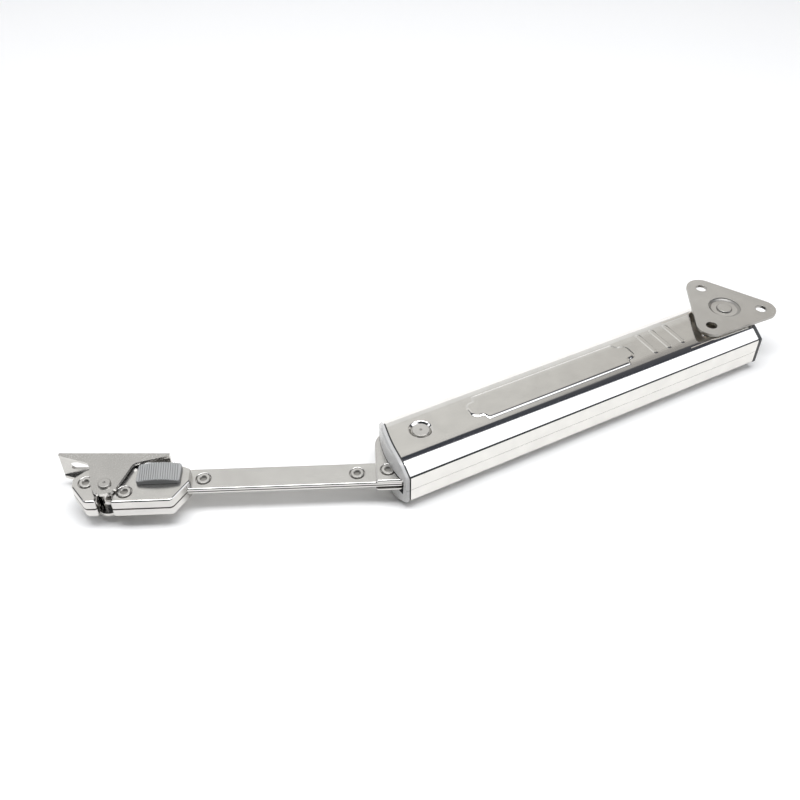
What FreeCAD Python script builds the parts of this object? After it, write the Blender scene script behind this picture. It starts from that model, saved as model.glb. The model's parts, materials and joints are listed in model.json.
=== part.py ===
"""Spring lid stay for a cabinet flap, lying flat on its lower cover.

A long pressed-steel housing holds two compression springs that push a roller slider
against a cam.  The cam is part of a lever that turns on a pin at the front end of the
housing and carries a flat arm.  The arm ends in a clip-on head whose slot holds the pin
of the flap bracket, and a ribbed button on the head draws the catch back.  A three-hole
cabinet plate turns on a rivet at the rear end of the housing.

Millimetres, +Z up.  The origin is the centre of the cabinet plate's hole circle on the
plate's mounting face.  Every pivot axis is parallel to Z.
"""
import FreeCAD, Part
import os
from math import acos, atan2, cos, hypot, pi, radians, sin, sqrt, tan

# Rest angles about Z, seen from above
HOUSING_ANGLE = 28.3
ARM_ANGLE = 2.8
BRACKET_ANGLE = 0.0
PLATE_ANGLE = -34.2
LEVER_FOLD = 75.0

# Clearances that many pieces share
RUNNING_FIT = 0.05
SIDE_PLAY = 0.1
LAYER_GAP = 0.05
POCKET_PLAY = 0.15

# Housing section and length
HOUSING_LENGTH = 199.0
HOUSING_HALF_WIDTH = 18.9
TOP_HALF_WIDTH = 11.9
HOUSING_HEIGHT = 24.0
FACET_RISE = 4.75
CROWN_RISE = 0.4
COVER_WALL = 1.0
SEAM_GAP = 0.15
FACET_EDGE_RADIUS = 8.0
SIDE_EDGE_RADIUS = 0.8
END_RADIUS = 95.0
END_BULGE = 2.2
END_APEX_V = -15.0

# Pressed panel and cross ribs of the upper cover
PANEL_START = 38.3
PANEL_RIB_GAP = 9.5
PANEL_HALF_WIDTH = 8.6
PANEL_OFFSET = 0.8
PRESSED_RAISE = 0.55
PANEL_NOSE_HALF_WIDTH = 5.4
PANEL_NOSE_LENGTH = 4.9
PANEL_NOSE_RADIUS = 3.9
PANEL_SHOULDER = 1.4
PANEL_SHOULDER_RADIUS = 1.2
PANEL_STEP_RADIUS = 0.6
PRESSED_EDGE_RADIUS = 0.35
RIBS_FROM_END = 57.5
RIB_PITCH = 8.5
RIB_COUNT = 3
RIB_WIDTH = 3.0
RIB_LENGTH = 16.2
RIB_OFFSET = 1.3

# Opening in the upper cover round the cabinet pivot
RECESS_OVERCUT = 1.1
RECESS_FRONT_LENGTH = 36.2
RECESS_BACK_LENGTH = 22.0
RECESS_CORNER_RADIUS = 3.5

# End caps
CAP_GAP = 0.7
CAP_RIM = 1.6
CAP_EDGE_RADIUS = 0.5
NOSE_RADIUS = 59.0
NOSE_APEX_V = -8.0
NOSE_FOOT_REACH = 3.4
NOSE_LEAN = 1.4
NOSE_BELLY = 0.3
NOSE_INSET = 1.0
NOSE_SLOT_PLAY = 0.9
NOSE_SLOT_HEIGHT_PLAY = 0.5
CAP_PLUG_LENGTH = 4.2
CAP_PLUG_WALL = 1.5
CAP_FIT = 0.1
REAR_CAP_PLATE = 2.0
REAR_CAP_GAP = 0.4

# Lever pivot
LEVER_PIVOT_U = 13.85
LEVER_PIVOT_V = 1.34
LEVER_PIN_RADIUS = 4.0
PIN_SHOULDER = 1.0
PIN_HEAD_RADIUS = 3.9
PIN_HEAD_EDGE = 0.3
PIN_HEAD_SINK = 0.15
PIN_CENTRE_RADIUS = 0.55
PIN_CENTRE_DEPTH = 0.3
PIN_RECESS_MARGIN = 1.6
PIN_RECESS_DEPTH = 1.0
PIN_COLLAR_WALL = 1.5
LEVER_WASHER_WALL = 2.4
HUB_WALL = 2.5

# Lever: two plates with the arm and the cam between them
LEVER_SHEET = 1.6
LEVER_LEFT = 20.85
LEVER_OVERHANG = 0.5
LEVER_BACK = 11.0
LEVER_INNER_BACK = 7.0
LEVER_INNER_FRONT = 7.0
LEVER_BACK_RADIUS = 11.0
LEVER_CORNER_RADIUS = 1.3
LEVER_INNER_RADIUS = 2.0
LEVER_HUB_BLEND = 2.5
LEVER_EDGE_RADIUS = 0.5
LEVER_SCREW_X = -15.4
CAM_RIVET_RADIUS = 1.5
CAM_RIVET_SPOTS = [(-9.5, -1.5), (-2.0, -12.0)]
CAM_TAIL_LENGTH = 15.6
CAM_ARM_GAP = 0.2

# Cam, roller and slider
CAM_BASE_WALL = 0.5
CAM_TRAVEL = 8.0
CAM_GAP = 0.06
CAM_LEAD_IN = 5.0
CAM_RUN_OUT = 8.0
ROLLER_RADIUS = 5.0
AXLE_RADIUS = 2.0
FORK_HALF_WIDTH = 4.2
FORK_SLOT_PLAY = 0.6
FORK_ROOT = 2.0
SLIDER_LENGTH = 14.0

# Springs, rods and their seat
SPRING_WIRE = 1.5
SPRING_MEAN_RADIUS = 3.9
SPRING_SIDE_GAP = 0.3
SPRING_FRAME_GAP = 0.4
SPRING_TURNS = 17
SEAT_FROM_END = 49.0
SEAT_LENGTH = 15.0
ROD_PLAY = 0.85
ROD_SHOULDER = 1.5
ROD_OVERLAP = 5.0

# Spring frame: two channels, mouth to mouth
FRAME_SHEET = 1.5
FRAME_FLANGE_START = 34.0
FRAME_END_GAP = 0.2
FRAME_FRONT = 4.6
FRAME_CORNER_RADIUS = 4.0
FRAME_RIVET_RADIUS = 2.0
RIVET_HEAD_WALL = 0.4
RIVET_HEAD_HEIGHT = 1.0
RIVET_HEAD_EDGE = 0.3
REAR_RIVET_FROM_END = 21.1
REAR_RIVET_V = -3.1

# Cabinet plate
PLATE_HOLE_PITCH = 32.0
PLATE_HOLE_RADIUS = 2.7
PLATE_CORNER_RADIUS = 7.6
PLATE_SHEET = 1.5
PLATE_GAP = 0.35
PLATE_EDGE_RADIUS = 0.3
PLATE_HOLE_EDGE_RADIUS = 0.2
PLATE_PIVOT_FROM_END = 3.75
PLATE_PIVOT_V = 4.4
DISH_RADIUS = 7.9
DISH_SLOPE = 1.4
DISH_DEPTH = 2.0
DISH_EDGE_RADIUS = 0.4
PLATE_RIVET_RADIUS = 2.5
PLATE_RIVET_HEAD_RADIUS = 3.85
PLATE_RIVET_HEAD_HEIGHT = 1.4
PLATE_RIVET_EDGE = 0.4
PLATE_SPACER_WALL = 3.0

# Arm
ARM_SHEET = 1.6
ARM_WIDTH = 12.3
ARM_CENTRE_Y = -15.35
ARM_INNER_END = -8.6
ARM_INNER_RADIUS = 1.0
ARM_OUTER_RADIUS = 3.0
ARM_EDGE_RADIUS = 0.35
ARM_NEAR_SCREW_X = -29.0
ARM_FAR_SCREW_FROM_PIN = 40.8

# Socket screws
SCREW_HEAD_RADIUS = 3.0
SCREW_HEAD_HEIGHT = 1.2
SCREW_HEAD_SINK = 0.8
SCREW_HEAD_EDGE = 0.35
SCREW_SHAFT_RADIUS = 1.5
SCREW_SEAT_PLAY = 0.25
SCREW_SOCKET_FLATS = 2.6
SCREW_SOCKET_DEPTH = 0.8
SCREW_END_SINK = 0.4

# Head, from the bracket pin: reach to each side and the cut of each corner
HEAD_PIN_X = -137.3
HEAD_PIN_OFFSET = 6.25
HEAD_FRONT_REACH = 8.5
HEAD_BACK_REACH = 11.7
HEAD_LEFT_REACH = 15.5
HEAD_RIGHT_REACH = 35.7
HEAD_FRONT_RIGHT_CUT = (6.7, 10.9)
HEAD_BACK_RIGHT_CUT = (4.0, 2.1)
HEAD_BACK_LEFT_CUT = (5.6, 5.5)
HEAD_FRONT_LEFT_CUT = (7.0, 9.4)
HEAD_LEFT_LEAN = 0.4
HEAD_STEP = 0.5
HEAD_CORNER_RADIUS = 2.5
HEAD_EDGE_RADIUS = 0.9
HEAD_SPLIT_RADIUS = 0.3
HEAD_TOP_WALL = 1.4
HEAD_ARM_OVERLAP = 12.8
HEAD_SCREW_OFFSETS = [(-9.1, 3.4), (8.4, -2.9)]
HEAD_BOSS_FROM_PIN = 20.3
HEAD_BOSS_RADIUS = 2.5
SLOT_MOUTH_RADIUS = 1.0

# Catch, its spring and the button, from the bracket pin
CATCH_SHEET = 1.5
CATCH_TRAVEL = 3.0
CATCH_REACH = 2.6
CATCH_NOSE_FRONT = -6.7
CATCH_NOSE_LENGTH = 3.0
CATCH_NOSE_LEAN = 1.3
CATCH_NOSE_RADIUS = 0.3
CATCH_SHOULDER_GAP = 1.4
CATCH_SHOULDER_LENGTH = 6.0
CATCH_CORNER_RADIUS = 0.6
CATCH_STEP_X = 14.9
CATCH_STEP_Y = -0.3
CATCH_RIGHT = 26.7
CATCH_BACK = 8.8
CATCH_TAB = 1.5
CATCH_TAB_GAP = 1.6
CATCH_TAB_OVERLAP = 0.5
CATCH_SPRING_WIRE = 0.5
CATCH_SPRING_RADIUS = 1.6
CATCH_SPRING_OFFSET = -3.7
CATCH_SPRING_LENGTH = 11.0
CATCH_SPRING_TURNS = 6
CATCH_SPRING_DROP = 0.3
BUTTON_START = 12.8
BUTTON_LENGTH = 18.8
BUTTON_FRONT_OFFSET = 0.9
BUTTON_WIDTH = 10.4
BUTTON_EDGE_HEIGHT = 1.9
BUTTON_CROWN = 1.25
BUTTON_CORNER_RADIUS = 1.2
BUTTON_EDGE_RADIUS = 0.45
BUTTON_LIFT = 0.15
BUTTON_RIB_PITCH = 1.0
BUTTON_RIB_DEPTH = 0.35
BUTTON_RIB_GROOVE = 0.45
BUTTON_RIB_MARGIN = 0.8
BUTTON_POST_LENGTH = 7.0
BUTTON_POST_WIDTH = 6.0
BUTTON_POST_START = 17.8
BUTTON_POST_OFFSET = 4.6
BUTTON_POST_OVERLAP = 0.5

# Flap bracket
BRACKET_HALF_LENGTH = 24.6
BRACKET_HEAD_GAP = 0.85
BRACKET_SHEET = 1.5
BRACKET_WEB_BACK = 18.9
BRACKET_TIP = 1.9
BRACKET_TIP_RADIUS = 0.6
BRACKET_SHOULDER_X = 9.8
BRACKET_SHOULDER_Y = 12.3
BRACKET_SHOULDER_RADIUS = 3.0
BRACKET_EYE_WALL = 3.8
BRACKET_BEND_RADIUS = 0.6
BRACKET_EDGE_RADIUS = 0.2
BRACKET_SLOT_LENGTH = 8.5
BRACKET_SLOT_RADIUS = 2.2
BRACKET_SLOT_SPACING = 33.0
BRACKET_PIN_RADIUS = 2.0
BRACKET_PIN_HEAD_WALL = 0.8
BRACKET_PIN_HEAD_HEIGHT = 1.0
BRACKET_PIN_EDGE = 0.4
BRACKET_PIN_CENTRE_RADIUS = 0.6
BRACKET_PIN_CENTRE_DEPTH = 0.35
BUSH_WALL = 1.05
BUSH_PLAY = 0.1

# Worked out: a corner's radius can come close to half a round end, but not reach it,
# and a cutter passes the faces that it cuts by this much.  The shares are of a slot's
# half width, of a section's length and of the wall that a pin seat is sunk in.
ROUND_END = 0.98
PAST = 1.0
SLOT_END = 0.9999
FULL_LENGTH = 0.99
SEAT_INTO_WALL = 0.8

# Worked out: heights from the table, which is at height 0 here
MID = HOUSING_HEIGHT / 2.0
PLATE_TOP = HOUSING_HEIGHT + CROWN_RISE + PLATE_GAP + PLATE_SHEET
RECESS_FLOOR = HOUSING_HEIGHT - FACET_RISE
ARM_HALF = ARM_SHEET
LEVER_INNER = ARM_HALF + LAYER_GAP
LEVER_OUTER = LEVER_INNER + LEVER_SHEET
PIN_SEAT_HALF = MID - PIN_RECESS_DEPTH - COVER_WALL
FRAME_HALF_HEIGHT = (PIN_SEAT_HALF + LEVER_OUTER + FRAME_SHEET) / 2.0
FRAME_INNER = FRAME_HALF_HEIGHT - FRAME_SHEET
NOSE_SLOT_HALF = LEVER_OUTER + NOSE_SLOT_HEIGHT_PLAY
CATCH_LOW = LEVER_INNER + SIDE_PLAY
HEAD_CEILING = CATCH_LOW + CATCH_SHEET + SIDE_PLAY
HEAD_HALF_HEIGHT = HEAD_CEILING + HEAD_TOP_WALL
BRACKET_HALF = HEAD_HALF_HEIGHT + BRACKET_HEAD_GAP + BRACKET_SHEET

# Worked out: the housing and what is in it, from its front end
PLATE_PIVOT_U = HOUSING_LENGTH - PLATE_PIVOT_FROM_END
RIB_START = HOUSING_LENGTH - RIBS_FROM_END
PANEL_END = RIB_START - PANEL_RIB_GAP
RECESS_HALF_WIDTH = TOP_HALF_WIDTH + RECESS_OVERCUT
RECESS_FRONT_START = HOUSING_LENGTH - RECESS_FRONT_LENGTH
RECESS_BACK_START = HOUSING_LENGTH - RECESS_BACK_LENGTH
PIN_NECK_RADIUS = LEVER_PIN_RADIUS - PIN_SHOULDER
PIN_RECESS_RADIUS = PIN_HEAD_RADIUS + PIN_RECESS_MARGIN
HUB_RADIUS = LEVER_PIN_RADIUS + HUB_WALL
SPRING_OUTER = SPRING_MEAN_RADIUS + SPRING_WIRE / 2.0
SPRING_OFFSET = SPRING_OUTER + SPRING_SIDE_GAP
ROD_RADIUS = SPRING_MEAN_RADIUS - SPRING_WIRE / 2.0 - ROD_PLAY
FRAME_HALF_WIDTH = SPRING_OFFSET + SPRING_OUTER + SPRING_FRAME_GAP + FRAME_SHEET
SEAT_START = HOUSING_LENGTH - SEAT_FROM_END
REAR_RIVET_U = HOUSING_LENGTH - REAR_RIVET_FROM_END
ARM_AT_REST = HOUSING_ANGLE - ARM_ANGLE
CAM_START_DISTANCE = HUB_RADIUS + CAM_BASE_WALL + ROLLER_RADIUS
CAM_RATE = CAM_TRAVEL / radians(LEVER_FOLD)
AXLE_U = LEVER_PIVOT_U + CAM_START_DISTANCE
SLIDER_FRONT = AXLE_U + ROLLER_RADIUS + FORK_SLOT_PLAY
SLIDER_BACK = SLIDER_FRONT + SLIDER_LENGTH

# Worked out: the arm and its head, from the lever pivot
LEVER_FRONT = ARM_WIDTH / 2.0 - ARM_CENTRE_Y + LEVER_OVERHANG
HEAD_PIN_Y = ARM_CENTRE_Y - HEAD_PIN_OFFSET
ARM_OUTER_END = HEAD_PIN_X + HEAD_ARM_OVERLAP
ARM_SCREW_XS = [ARM_NEAR_SCREW_X, HEAD_PIN_X + ARM_FAR_SCREW_FROM_PIN]
HEAD_SCREW_SPOTS = [(HEAD_PIN_X + x, HEAD_PIN_Y + y) for x, y in HEAD_SCREW_OFFSETS]
HEAD_BOSS_X = HEAD_PIN_X + HEAD_BOSS_FROM_PIN
BUSH_RADIUS = BRACKET_PIN_RADIUS + BUSH_WALL
SLOT_HALF_WIDTH = BUSH_RADIUS + BUSH_PLAY
CATCH_LEFT = HEAD_PIN_X + SLOT_HALF_WIDTH - CATCH_REACH
CATCH_SHOULDER_X = HEAD_PIN_X + SLOT_HALF_WIDTH + CATCH_SHOULDER_GAP
CATCH_MAIN_X = CATCH_SHOULDER_X + CATCH_SHOULDER_LENGTH
CATCH_TAB_X = HEAD_SCREW_SPOTS[1][0] + SCREW_SHAFT_RADIUS + CATCH_TAB_GAP
CATCH_SPRING_Y = HEAD_PIN_Y + CATCH_SPRING_OFFSET
BUTTON_POST_X = HEAD_PIN_X + BUTTON_POST_START + BUTTON_POST_LENGTH / 2.0
BUTTON_POST_Y = HEAD_PIN_Y + BUTTON_POST_OFFSET
BRACKET_EYE_RADIUS = BRACKET_PIN_RADIUS + BRACKET_EYE_WALL
BRACKET_PIN_HEAD_RADIUS = BRACKET_PIN_RADIUS + BRACKET_PIN_HEAD_WALL
RIVET_HEAD_RADIUS = FRAME_RIVET_RADIUS + RIVET_HEAD_WALL
END_SAG = (HOUSING_HALF_WIDTH - END_APEX_V) ** 2 / END_RADIUS
END_SPAN = END_SAG + PAST


def vec(x, y, z=0.0):
    return FreeCAD.Vector(x, y, z)


def turn(x, y, angle):
    """The point (x, y) turned about the origin by an angle in degrees."""
    c, s = cos(radians(angle)), sin(radians(angle))
    return x * c - y * s, x * s + y * c


def shifted(start, x, y, angle):
    """The point that lies at (x, y) in a frame turned by an angle about start."""
    dx, dy = turn(x, y, angle)
    return start[0] + dx, start[1] + dy


def moved(shape, angle=0.0, x=0.0, y=0.0, z=0.0):
    """A copy of a shape, turned about Z and then shifted."""
    out = shape.copy()
    out.rotate(vec(0, 0), vec(0, 0, 1), angle)
    out.translate(vec(x, y, z))
    return out


# The four local frames.  Heights are measured from the table and lowered at the end,
# so that the cabinet plate's mounting face is at Z = 0.
HOUSING_SHIFT = turn(-PLATE_PIVOT_U, -PLATE_PIVOT_V, HOUSING_ANGLE)
LEVER_SHIFT = shifted(HOUSING_SHIFT, LEVER_PIVOT_U, LEVER_PIVOT_V, HOUSING_ANGLE)
BRACKET_SHIFT = shifted(LEVER_SHIFT, HEAD_PIN_X, HEAD_PIN_Y, ARM_ANGLE)


def in_housing(shape):
    """From the housing frame: u along the housing, v towards its back side."""
    return moved(shape, HOUSING_ANGLE, HOUSING_SHIFT[0], HOUSING_SHIFT[1], -PLATE_TOP)


def on_arm(shape):
    """From the arm frame: origin on the lever pivot, the arm points to -x."""
    return moved(shape, ARM_ANGLE, LEVER_SHIFT[0], LEVER_SHIFT[1], -PLATE_TOP)


def on_bracket(shape):
    """From the bracket frame: origin on the bracket pin, the web is at +y."""
    return moved(shape, BRACKET_ANGLE, BRACKET_SHIFT[0], BRACKET_SHIFT[1], -PLATE_TOP)


def on_plate(shape):
    """From the plate frame: origin on the plate pivot."""
    return moved(shape, PLATE_ANGLE, 0.0, 0.0, -PLATE_TOP)


def rounded_wire(points):
    """A closed wire through corners (x, y, radius); a radius of 0 keeps a sharp corner."""
    n = len(points)
    starts, ends, arcs = [], [], []
    for i in range(n):
        x, y, r = points[i]
        xa, ya = points[i - 1][0], points[i - 1][1]
        xb, yb = points[(i + 1) % n][0], points[(i + 1) % n][1]
        ax, ay = xa - x, ya - y
        bx, by = xb - x, yb - y
        la, lb = hypot(ax, ay), hypot(bx, by)
        ax, ay, bx, by = ax / la, ay / la, bx / lb, by / lb
        if r <= 0:
            starts.append((x, y))
            ends.append((x, y))
            arcs.append(None)
            continue
        half = 0.5 * abs(atan2(ax * by - ay * bx, ax * bx + ay * by))
        reach = r / tan(half)
        mx, my = ax + bx, ay + by
        lm = hypot(mx, my)
        middle = r / sin(half) - r
        starts.append((x + ax * reach, y + ay * reach))
        ends.append((x + bx * reach, y + by * reach))
        arcs.append((x + mx / lm * middle, y + my / lm * middle))
    edges = []
    for i in range(n):
        if arcs[i] is not None:
            edges.append(Part.Arc(vec(*starts[i]), vec(*arcs[i]), vec(*ends[i])).toShape())
        a, b = ends[i], starts[(i + 1) % n]
        if hypot(a[0] - b[0], a[1] - b[1]) > 1e-6:
            edges.append(Part.makeLine(vec(*a), vec(*b)))
    return Part.Wire(edges)


def prism(wire, z0, z1):
    """A wire in the XY plane, raised from z0 to z1."""
    face = Part.Face(wire)
    face.translate(vec(0, 0, z0))
    return face.extrude(vec(0, 0, z1 - z0))


def box(x0, x1, y0, y1, z0, z1):
    return Part.makeBox(x1 - x0, y1 - y0, z1 - z0, vec(x0, y0, z0))


def post(x, y, r, z0, z1):
    return Part.makeCylinder(r, z1 - z0, vec(x, y, z0))


def ring(x, y, r_out, r_in, z0, z1):
    return post(x, y, r_out, z0, z1).cut(post(x, y, r_in, z0, z1))


def turned(x, y, profile):
    """A solid turned about the vertical line at (x, y), from (radius, z) points."""
    points = [vec(r, 0, z) for r, z in profile]
    wire = Part.makePolygon(points + points[:1])
    solid = Part.Face(wire).revolve(vec(0, 0), vec(0, 0, 1), 360)
    return moved(solid, 0.0, x, y)


def round_edge_at(z, x, y, radius):
    """Picks a round edge at height z, centred at (x, y)."""
    level = flat_at(z)

    def wanted(edge):
        if not level(edge) or not hasattr(edge.Curve, "Radius"):
            return False
        centre = edge.Curve.Center
        return abs(edge.Curve.Radius - radius) < 1e-4 and hypot(centre.x - x, centre.y - y) < 1e-4
    return wanted


def softened(shape, radius, wanted):
    """Round the edges that the test named wanted picks."""
    edges = [e for e in shape.Edges if wanted(e)]
    return shape.makeFillet(radius, edges)


def flat_at(z):
    """Picks edges that lie in the plane at height z."""
    def wanted(edge):
        bounds = edge.BoundBox
        return abs(bounds.ZMin - z) < 1e-4 and abs(bounds.ZMax - z) < 1e-4
    return wanted


def across_at(x):
    """Picks edges that lie in the plane across the x axis at x."""
    def wanted(edge):
        bounds = edge.BoundBox
        return abs(bounds.XMin - x) < 1e-4 and abs(bounds.XMax - x) < 1e-4
    return wanted


def on_drum(radius):
    """Picks edges whose ends lie on a drum about the curved front end's centre line."""
    centre = vec(END_RADIUS - END_BULGE, END_APEX_V)

    def wanted(edge):
        return all(abs(vec(v.X, v.Y).distanceToPoint(centre) - radius) < 1e-3
                   for v in edge.Vertexes)
    return wanted


def slot_wire(x, y, length, radius):
    """A slot with round ends along x, centred at (x, y)."""
    half = length / 2.0
    corners = [(x - half, y - radius), (x + half, y - radius),
               (x + half, y + radius), (x - half, y + radius)]
    return rounded_wire([(px, py, radius * SLOT_END) for px, py in corners])


# Housing section

def section_points(inset):
    """Half of the housing section as (v, height above MID), moved in by a distance."""
    half_height = MID
    run = HOUSING_HALF_WIDTH - TOP_HALF_WIDTH
    slope = atan2(FACET_RISE, run)
    side = HOUSING_HALF_WIDTH - inset
    top = half_height - inset
    shoulder = half_height - FACET_RISE - inset * tan((pi / 2 - slope) / 2)
    corner = TOP_HALF_WIDTH - inset * tan(slope / 2)
    return side, shoulder, corner, top


def section_solid(inset, u0, u1, crown):
    """The full housing section as a bar from u0 to u1."""
    side, shoulder, corner, top = section_points(inset)

    def at(v, h):
        return vec(u0, v, MID + h)

    edges = [
        Part.makeLine(at(-corner, -top), at(corner, -top)),
        Part.makeLine(at(corner, -top), at(side, -shoulder)),
        Part.makeLine(at(side, -shoulder), at(side, shoulder)),
        Part.makeLine(at(side, shoulder), at(corner, top)),
        Part.Arc(at(corner, top), at(0, top + crown), at(-corner, top)).toShape(),
        Part.makeLine(at(-corner, top), at(-side, shoulder)),
        Part.makeLine(at(-side, shoulder), at(-side, -shoulder)),
        Part.makeLine(at(-side, -shoulder), at(-corner, -top)),
    ]
    return Part.Face(Part.Wire(edges)).extrude(vec(u1 - u0, 0, 0))


def rounded_section(inset, u0, u1, crown, facet_radius, side_radius):
    """The section with its long edges rounded."""
    side, shoulder, corner, top = section_points(inset)
    solid = section_solid(inset, u0, u1, crown)

    def long_edge(v, h):
        def wanted(edge):
            b = edge.BoundBox
            long_enough = b.XLength > (u1 - u0) * FULL_LENGTH
            near = abs(abs(b.YMin) - v) < 1e-3 and abs(abs(b.ZMin - MID) - h) < 1e-3
            return long_enough and near
        return wanted

    solid = softened(solid, facet_radius, long_edge(corner, top))
    return softened(solid, side_radius, long_edge(side, shoulder))


def end_drum(reach):
    """An upright drum whose front is the curved front end, moved out by a distance."""
    return post(END_RADIUS - END_BULGE, END_APEX_V, END_RADIUS + reach, -PAST, PLATE_TOP + PAST)


def in_front_of(drum):
    """The space before a drum, to cut from what must end on its curve."""
    reach = END_BULGE + CAP_GAP + CAP_RIM + PAST
    space = box(-reach, END_SPAN, -HOUSING_HALF_WIDTH - PAST, HOUSING_HALF_WIDTH + PAST,
                -PAST, PLATE_TOP + PAST)
    return space.cut(drum)


def cover_shell():
    """Both covers as one tube, before it is parted at the seam."""
    outer = rounded_section(0.0, -END_BULGE, HOUSING_LENGTH, CROWN_RISE,
                            FACET_EDGE_RADIUS, SIDE_EDGE_RADIUS)
    inner = section_solid(COVER_WALL, -END_BULGE - PAST, HOUSING_LENGTH + PAST, CROWN_RISE)
    return outer.cut(inner).cut(in_front_of(end_drum(0.0)))


def crowned_pad(wire):
    """A pressed pad with this outline, standing PRESSED_RAISE above the crowned top."""
    raised = section_solid(0.0, 0.0, HOUSING_LENGTH, CROWN_RISE)
    raised.translate(vec(0, 0, PRESSED_RAISE))
    inner = section_solid(COVER_WALL, -PAST, HOUSING_LENGTH + PAST, CROWN_RISE)
    pad = prism(wire, HOUSING_HEIGHT - 2 * COVER_WALL, PLATE_TOP + PAST)
    pad = pad.common(raised).cut(inner)
    base = HOUSING_HEIGHT + PRESSED_RAISE / 2.0
    return softened(pad, PRESSED_EDGE_RADIUS, lambda e: e.BoundBox.ZMin > base)


def panel_wire():
    """The long panel: round noses between stepped shoulders."""
    v = PANEL_HALF_WIDTH
    n = PANEL_NOSE_HALF_WIDTH
    step = PANEL_NOSE_LENGTH
    far = step + PANEL_SHOULDER
    corners = []
    for end, way in ((PANEL_START, 1), (PANEL_END, -1)):
        half = [(end + way * far, v, PANEL_SHOULDER_RADIUS),
                (end + way * step, n, PANEL_STEP_RADIUS), (end, n, PANEL_NOSE_RADIUS)]
        mirror = [(x, -y, r) for x, y, r in reversed(half)]
        corners += half + mirror if way > 0 else [(x, -y, r) for x, y, r in half + mirror]
    return rounded_wire([(x, y + PANEL_OFFSET, r) for x, y, r in corners])


def rib_wire(index):
    u = RIB_START + index * RIB_PITCH
    half_length = RIB_LENGTH / 2.0
    radius = RIB_WIDTH / 2.0
    corners = [(u - radius, RIB_OFFSET - half_length), (u + radius, RIB_OFFSET - half_length),
               (u + radius, RIB_OFFSET + half_length), (u - radius, RIB_OFFSET + half_length)]
    return rounded_wire([(x, y, radius * ROUND_END) for x, y in corners])


def swing_window():
    """The space that the lever sweeps through the end and the back side of the housing."""
    reach = hypot(LEVER_LEFT, LEVER_BACK_RADIUS / 2.0) + NOSE_SLOT_HEIGHT_PLAY
    wall = HOUSING_HALF_WIDTH - COVER_WALL - LEVER_PIVOT_V
    end = LEVER_PIVOT_U + sqrt(reach ** 2 - wall ** 2)
    low, high = MID - NOSE_SLOT_HALF, MID + NOSE_SLOT_HALF
    back = HOUSING_HALF_WIDTH - COVER_WALL - NOSE_SLOT_HEIGHT_PLAY
    return box(-END_BULGE - PAST, end, back, HOUSING_HALF_WIDTH + PAST, low, high)


def pin_face(way):
    """Height of the cover's outer face at the lever pin; way is 1 for the upper cover."""
    return MID + way * (MID + (CROWN_RISE if way > 0 else 0.0))


def pin_seat(way):
    """The dished seat for a pin head in a cover: (solid to add, solid to take away)."""
    face = pin_face(way)
    floor = face - way * PIN_RECESS_DEPTH
    under = floor - way * COVER_WALL
    inside = face - way * COVER_WALL * SEAT_INTO_WALL
    out = face + way * PAST
    u, v = LEVER_PIVOT_U, LEVER_PIVOT_V
    add = post(u, v, PIN_RECESS_RADIUS + COVER_WALL, min(inside, under), max(inside, under))
    pocket = post(u, v, PIN_RECESS_RADIUS, min(floor, out), max(floor, out))
    hole = post(u, v, PIN_NECK_RADIUS, min(under, out), max(under, out))
    return add, pocket.fuse(hole)


def upper_cover():
    seam = MID + SEAM_GAP / 2.0
    body = cover_shell().common(
        box(-END_BULGE - PAST, HOUSING_LENGTH + PAST, -HOUSING_HALF_WIDTH - PAST,
            HOUSING_HALF_WIDTH + PAST, seam, PLATE_TOP + PAST))
    body = body.fuse(crowned_pad(panel_wire()))
    for index in range(RIB_COUNT):
        body = body.fuse(crowned_pad(rib_wire(index)))
    add, away = pin_seat(1)
    body = body.fuse(add).cut(away)
    w = RECESS_HALF_WIDTH
    opening = prism(rounded_wire([
        (RECESS_FRONT_START, -w, RECESS_CORNER_RADIUS), (HOUSING_LENGTH + PAST, -w, 0),
        (HOUSING_LENGTH + PAST, w, 0), (RECESS_BACK_START, w, RECESS_CORNER_RADIUS)]),
        RECESS_FLOOR, PLATE_TOP + PAST)
    return body.cut(opening).cut(swing_window()).removeSplitter()


def lower_cover():
    seam = MID - SEAM_GAP / 2.0
    body = cover_shell().common(
        box(-END_BULGE - PAST, HOUSING_LENGTH + PAST, -HOUSING_HALF_WIDTH - PAST,
            HOUSING_HALF_WIDTH + PAST, -PAST, seam))
    add, away = pin_seat(-1)
    return body.fuse(add).cut(away).cut(swing_window()).removeSplitter()


def cap_plug(u0, u1):
    """The hollow plug of an end cap, a push fit in the covers."""
    outer = section_solid(COVER_WALL + CAP_FIT, u0, u1, CROWN_RISE)
    inner = section_solid(COVER_WALL + CAP_FIT + CAP_PLUG_WALL, u0 - PAST, u1 + PAST, CROWN_RISE)
    return outer.cut(inner)


def nose_drum():
    """A drum about an upright line, whose leaning and slightly bellied side is the nose's face."""
    foot, brow = NOSE_RADIUS, NOSE_RADIUS - NOSE_LEAN
    belly = (foot + brow) / 2.0 + NOSE_BELLY
    high = HOUSING_HEIGHT + CROWN_RISE + PAST
    side = Part.Wire([
        Part.makeLine(vec(0, 0, 0), vec(foot, 0, 0)),
        Part.Arc(vec(foot, 0, 0), vec(belly, 0, MID), vec(brow, 0, HOUSING_HEIGHT)).toShape(),
        Part.makeLine(vec(brow, 0, HOUSING_HEIGHT), vec(brow, 0, high)),
        Part.makeLine(vec(brow, 0, high), vec(0, 0, high)),
        Part.makeLine(vec(0, 0, high), vec(0, 0, 0))])
    drum = Part.Face(side).revolve(vec(0, 0), vec(0, 0, 1), 360)
    return moved(drum, 0.0, NOSE_RADIUS - END_BULGE - NOSE_FOOT_REACH, NOSE_APEX_V)


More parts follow.
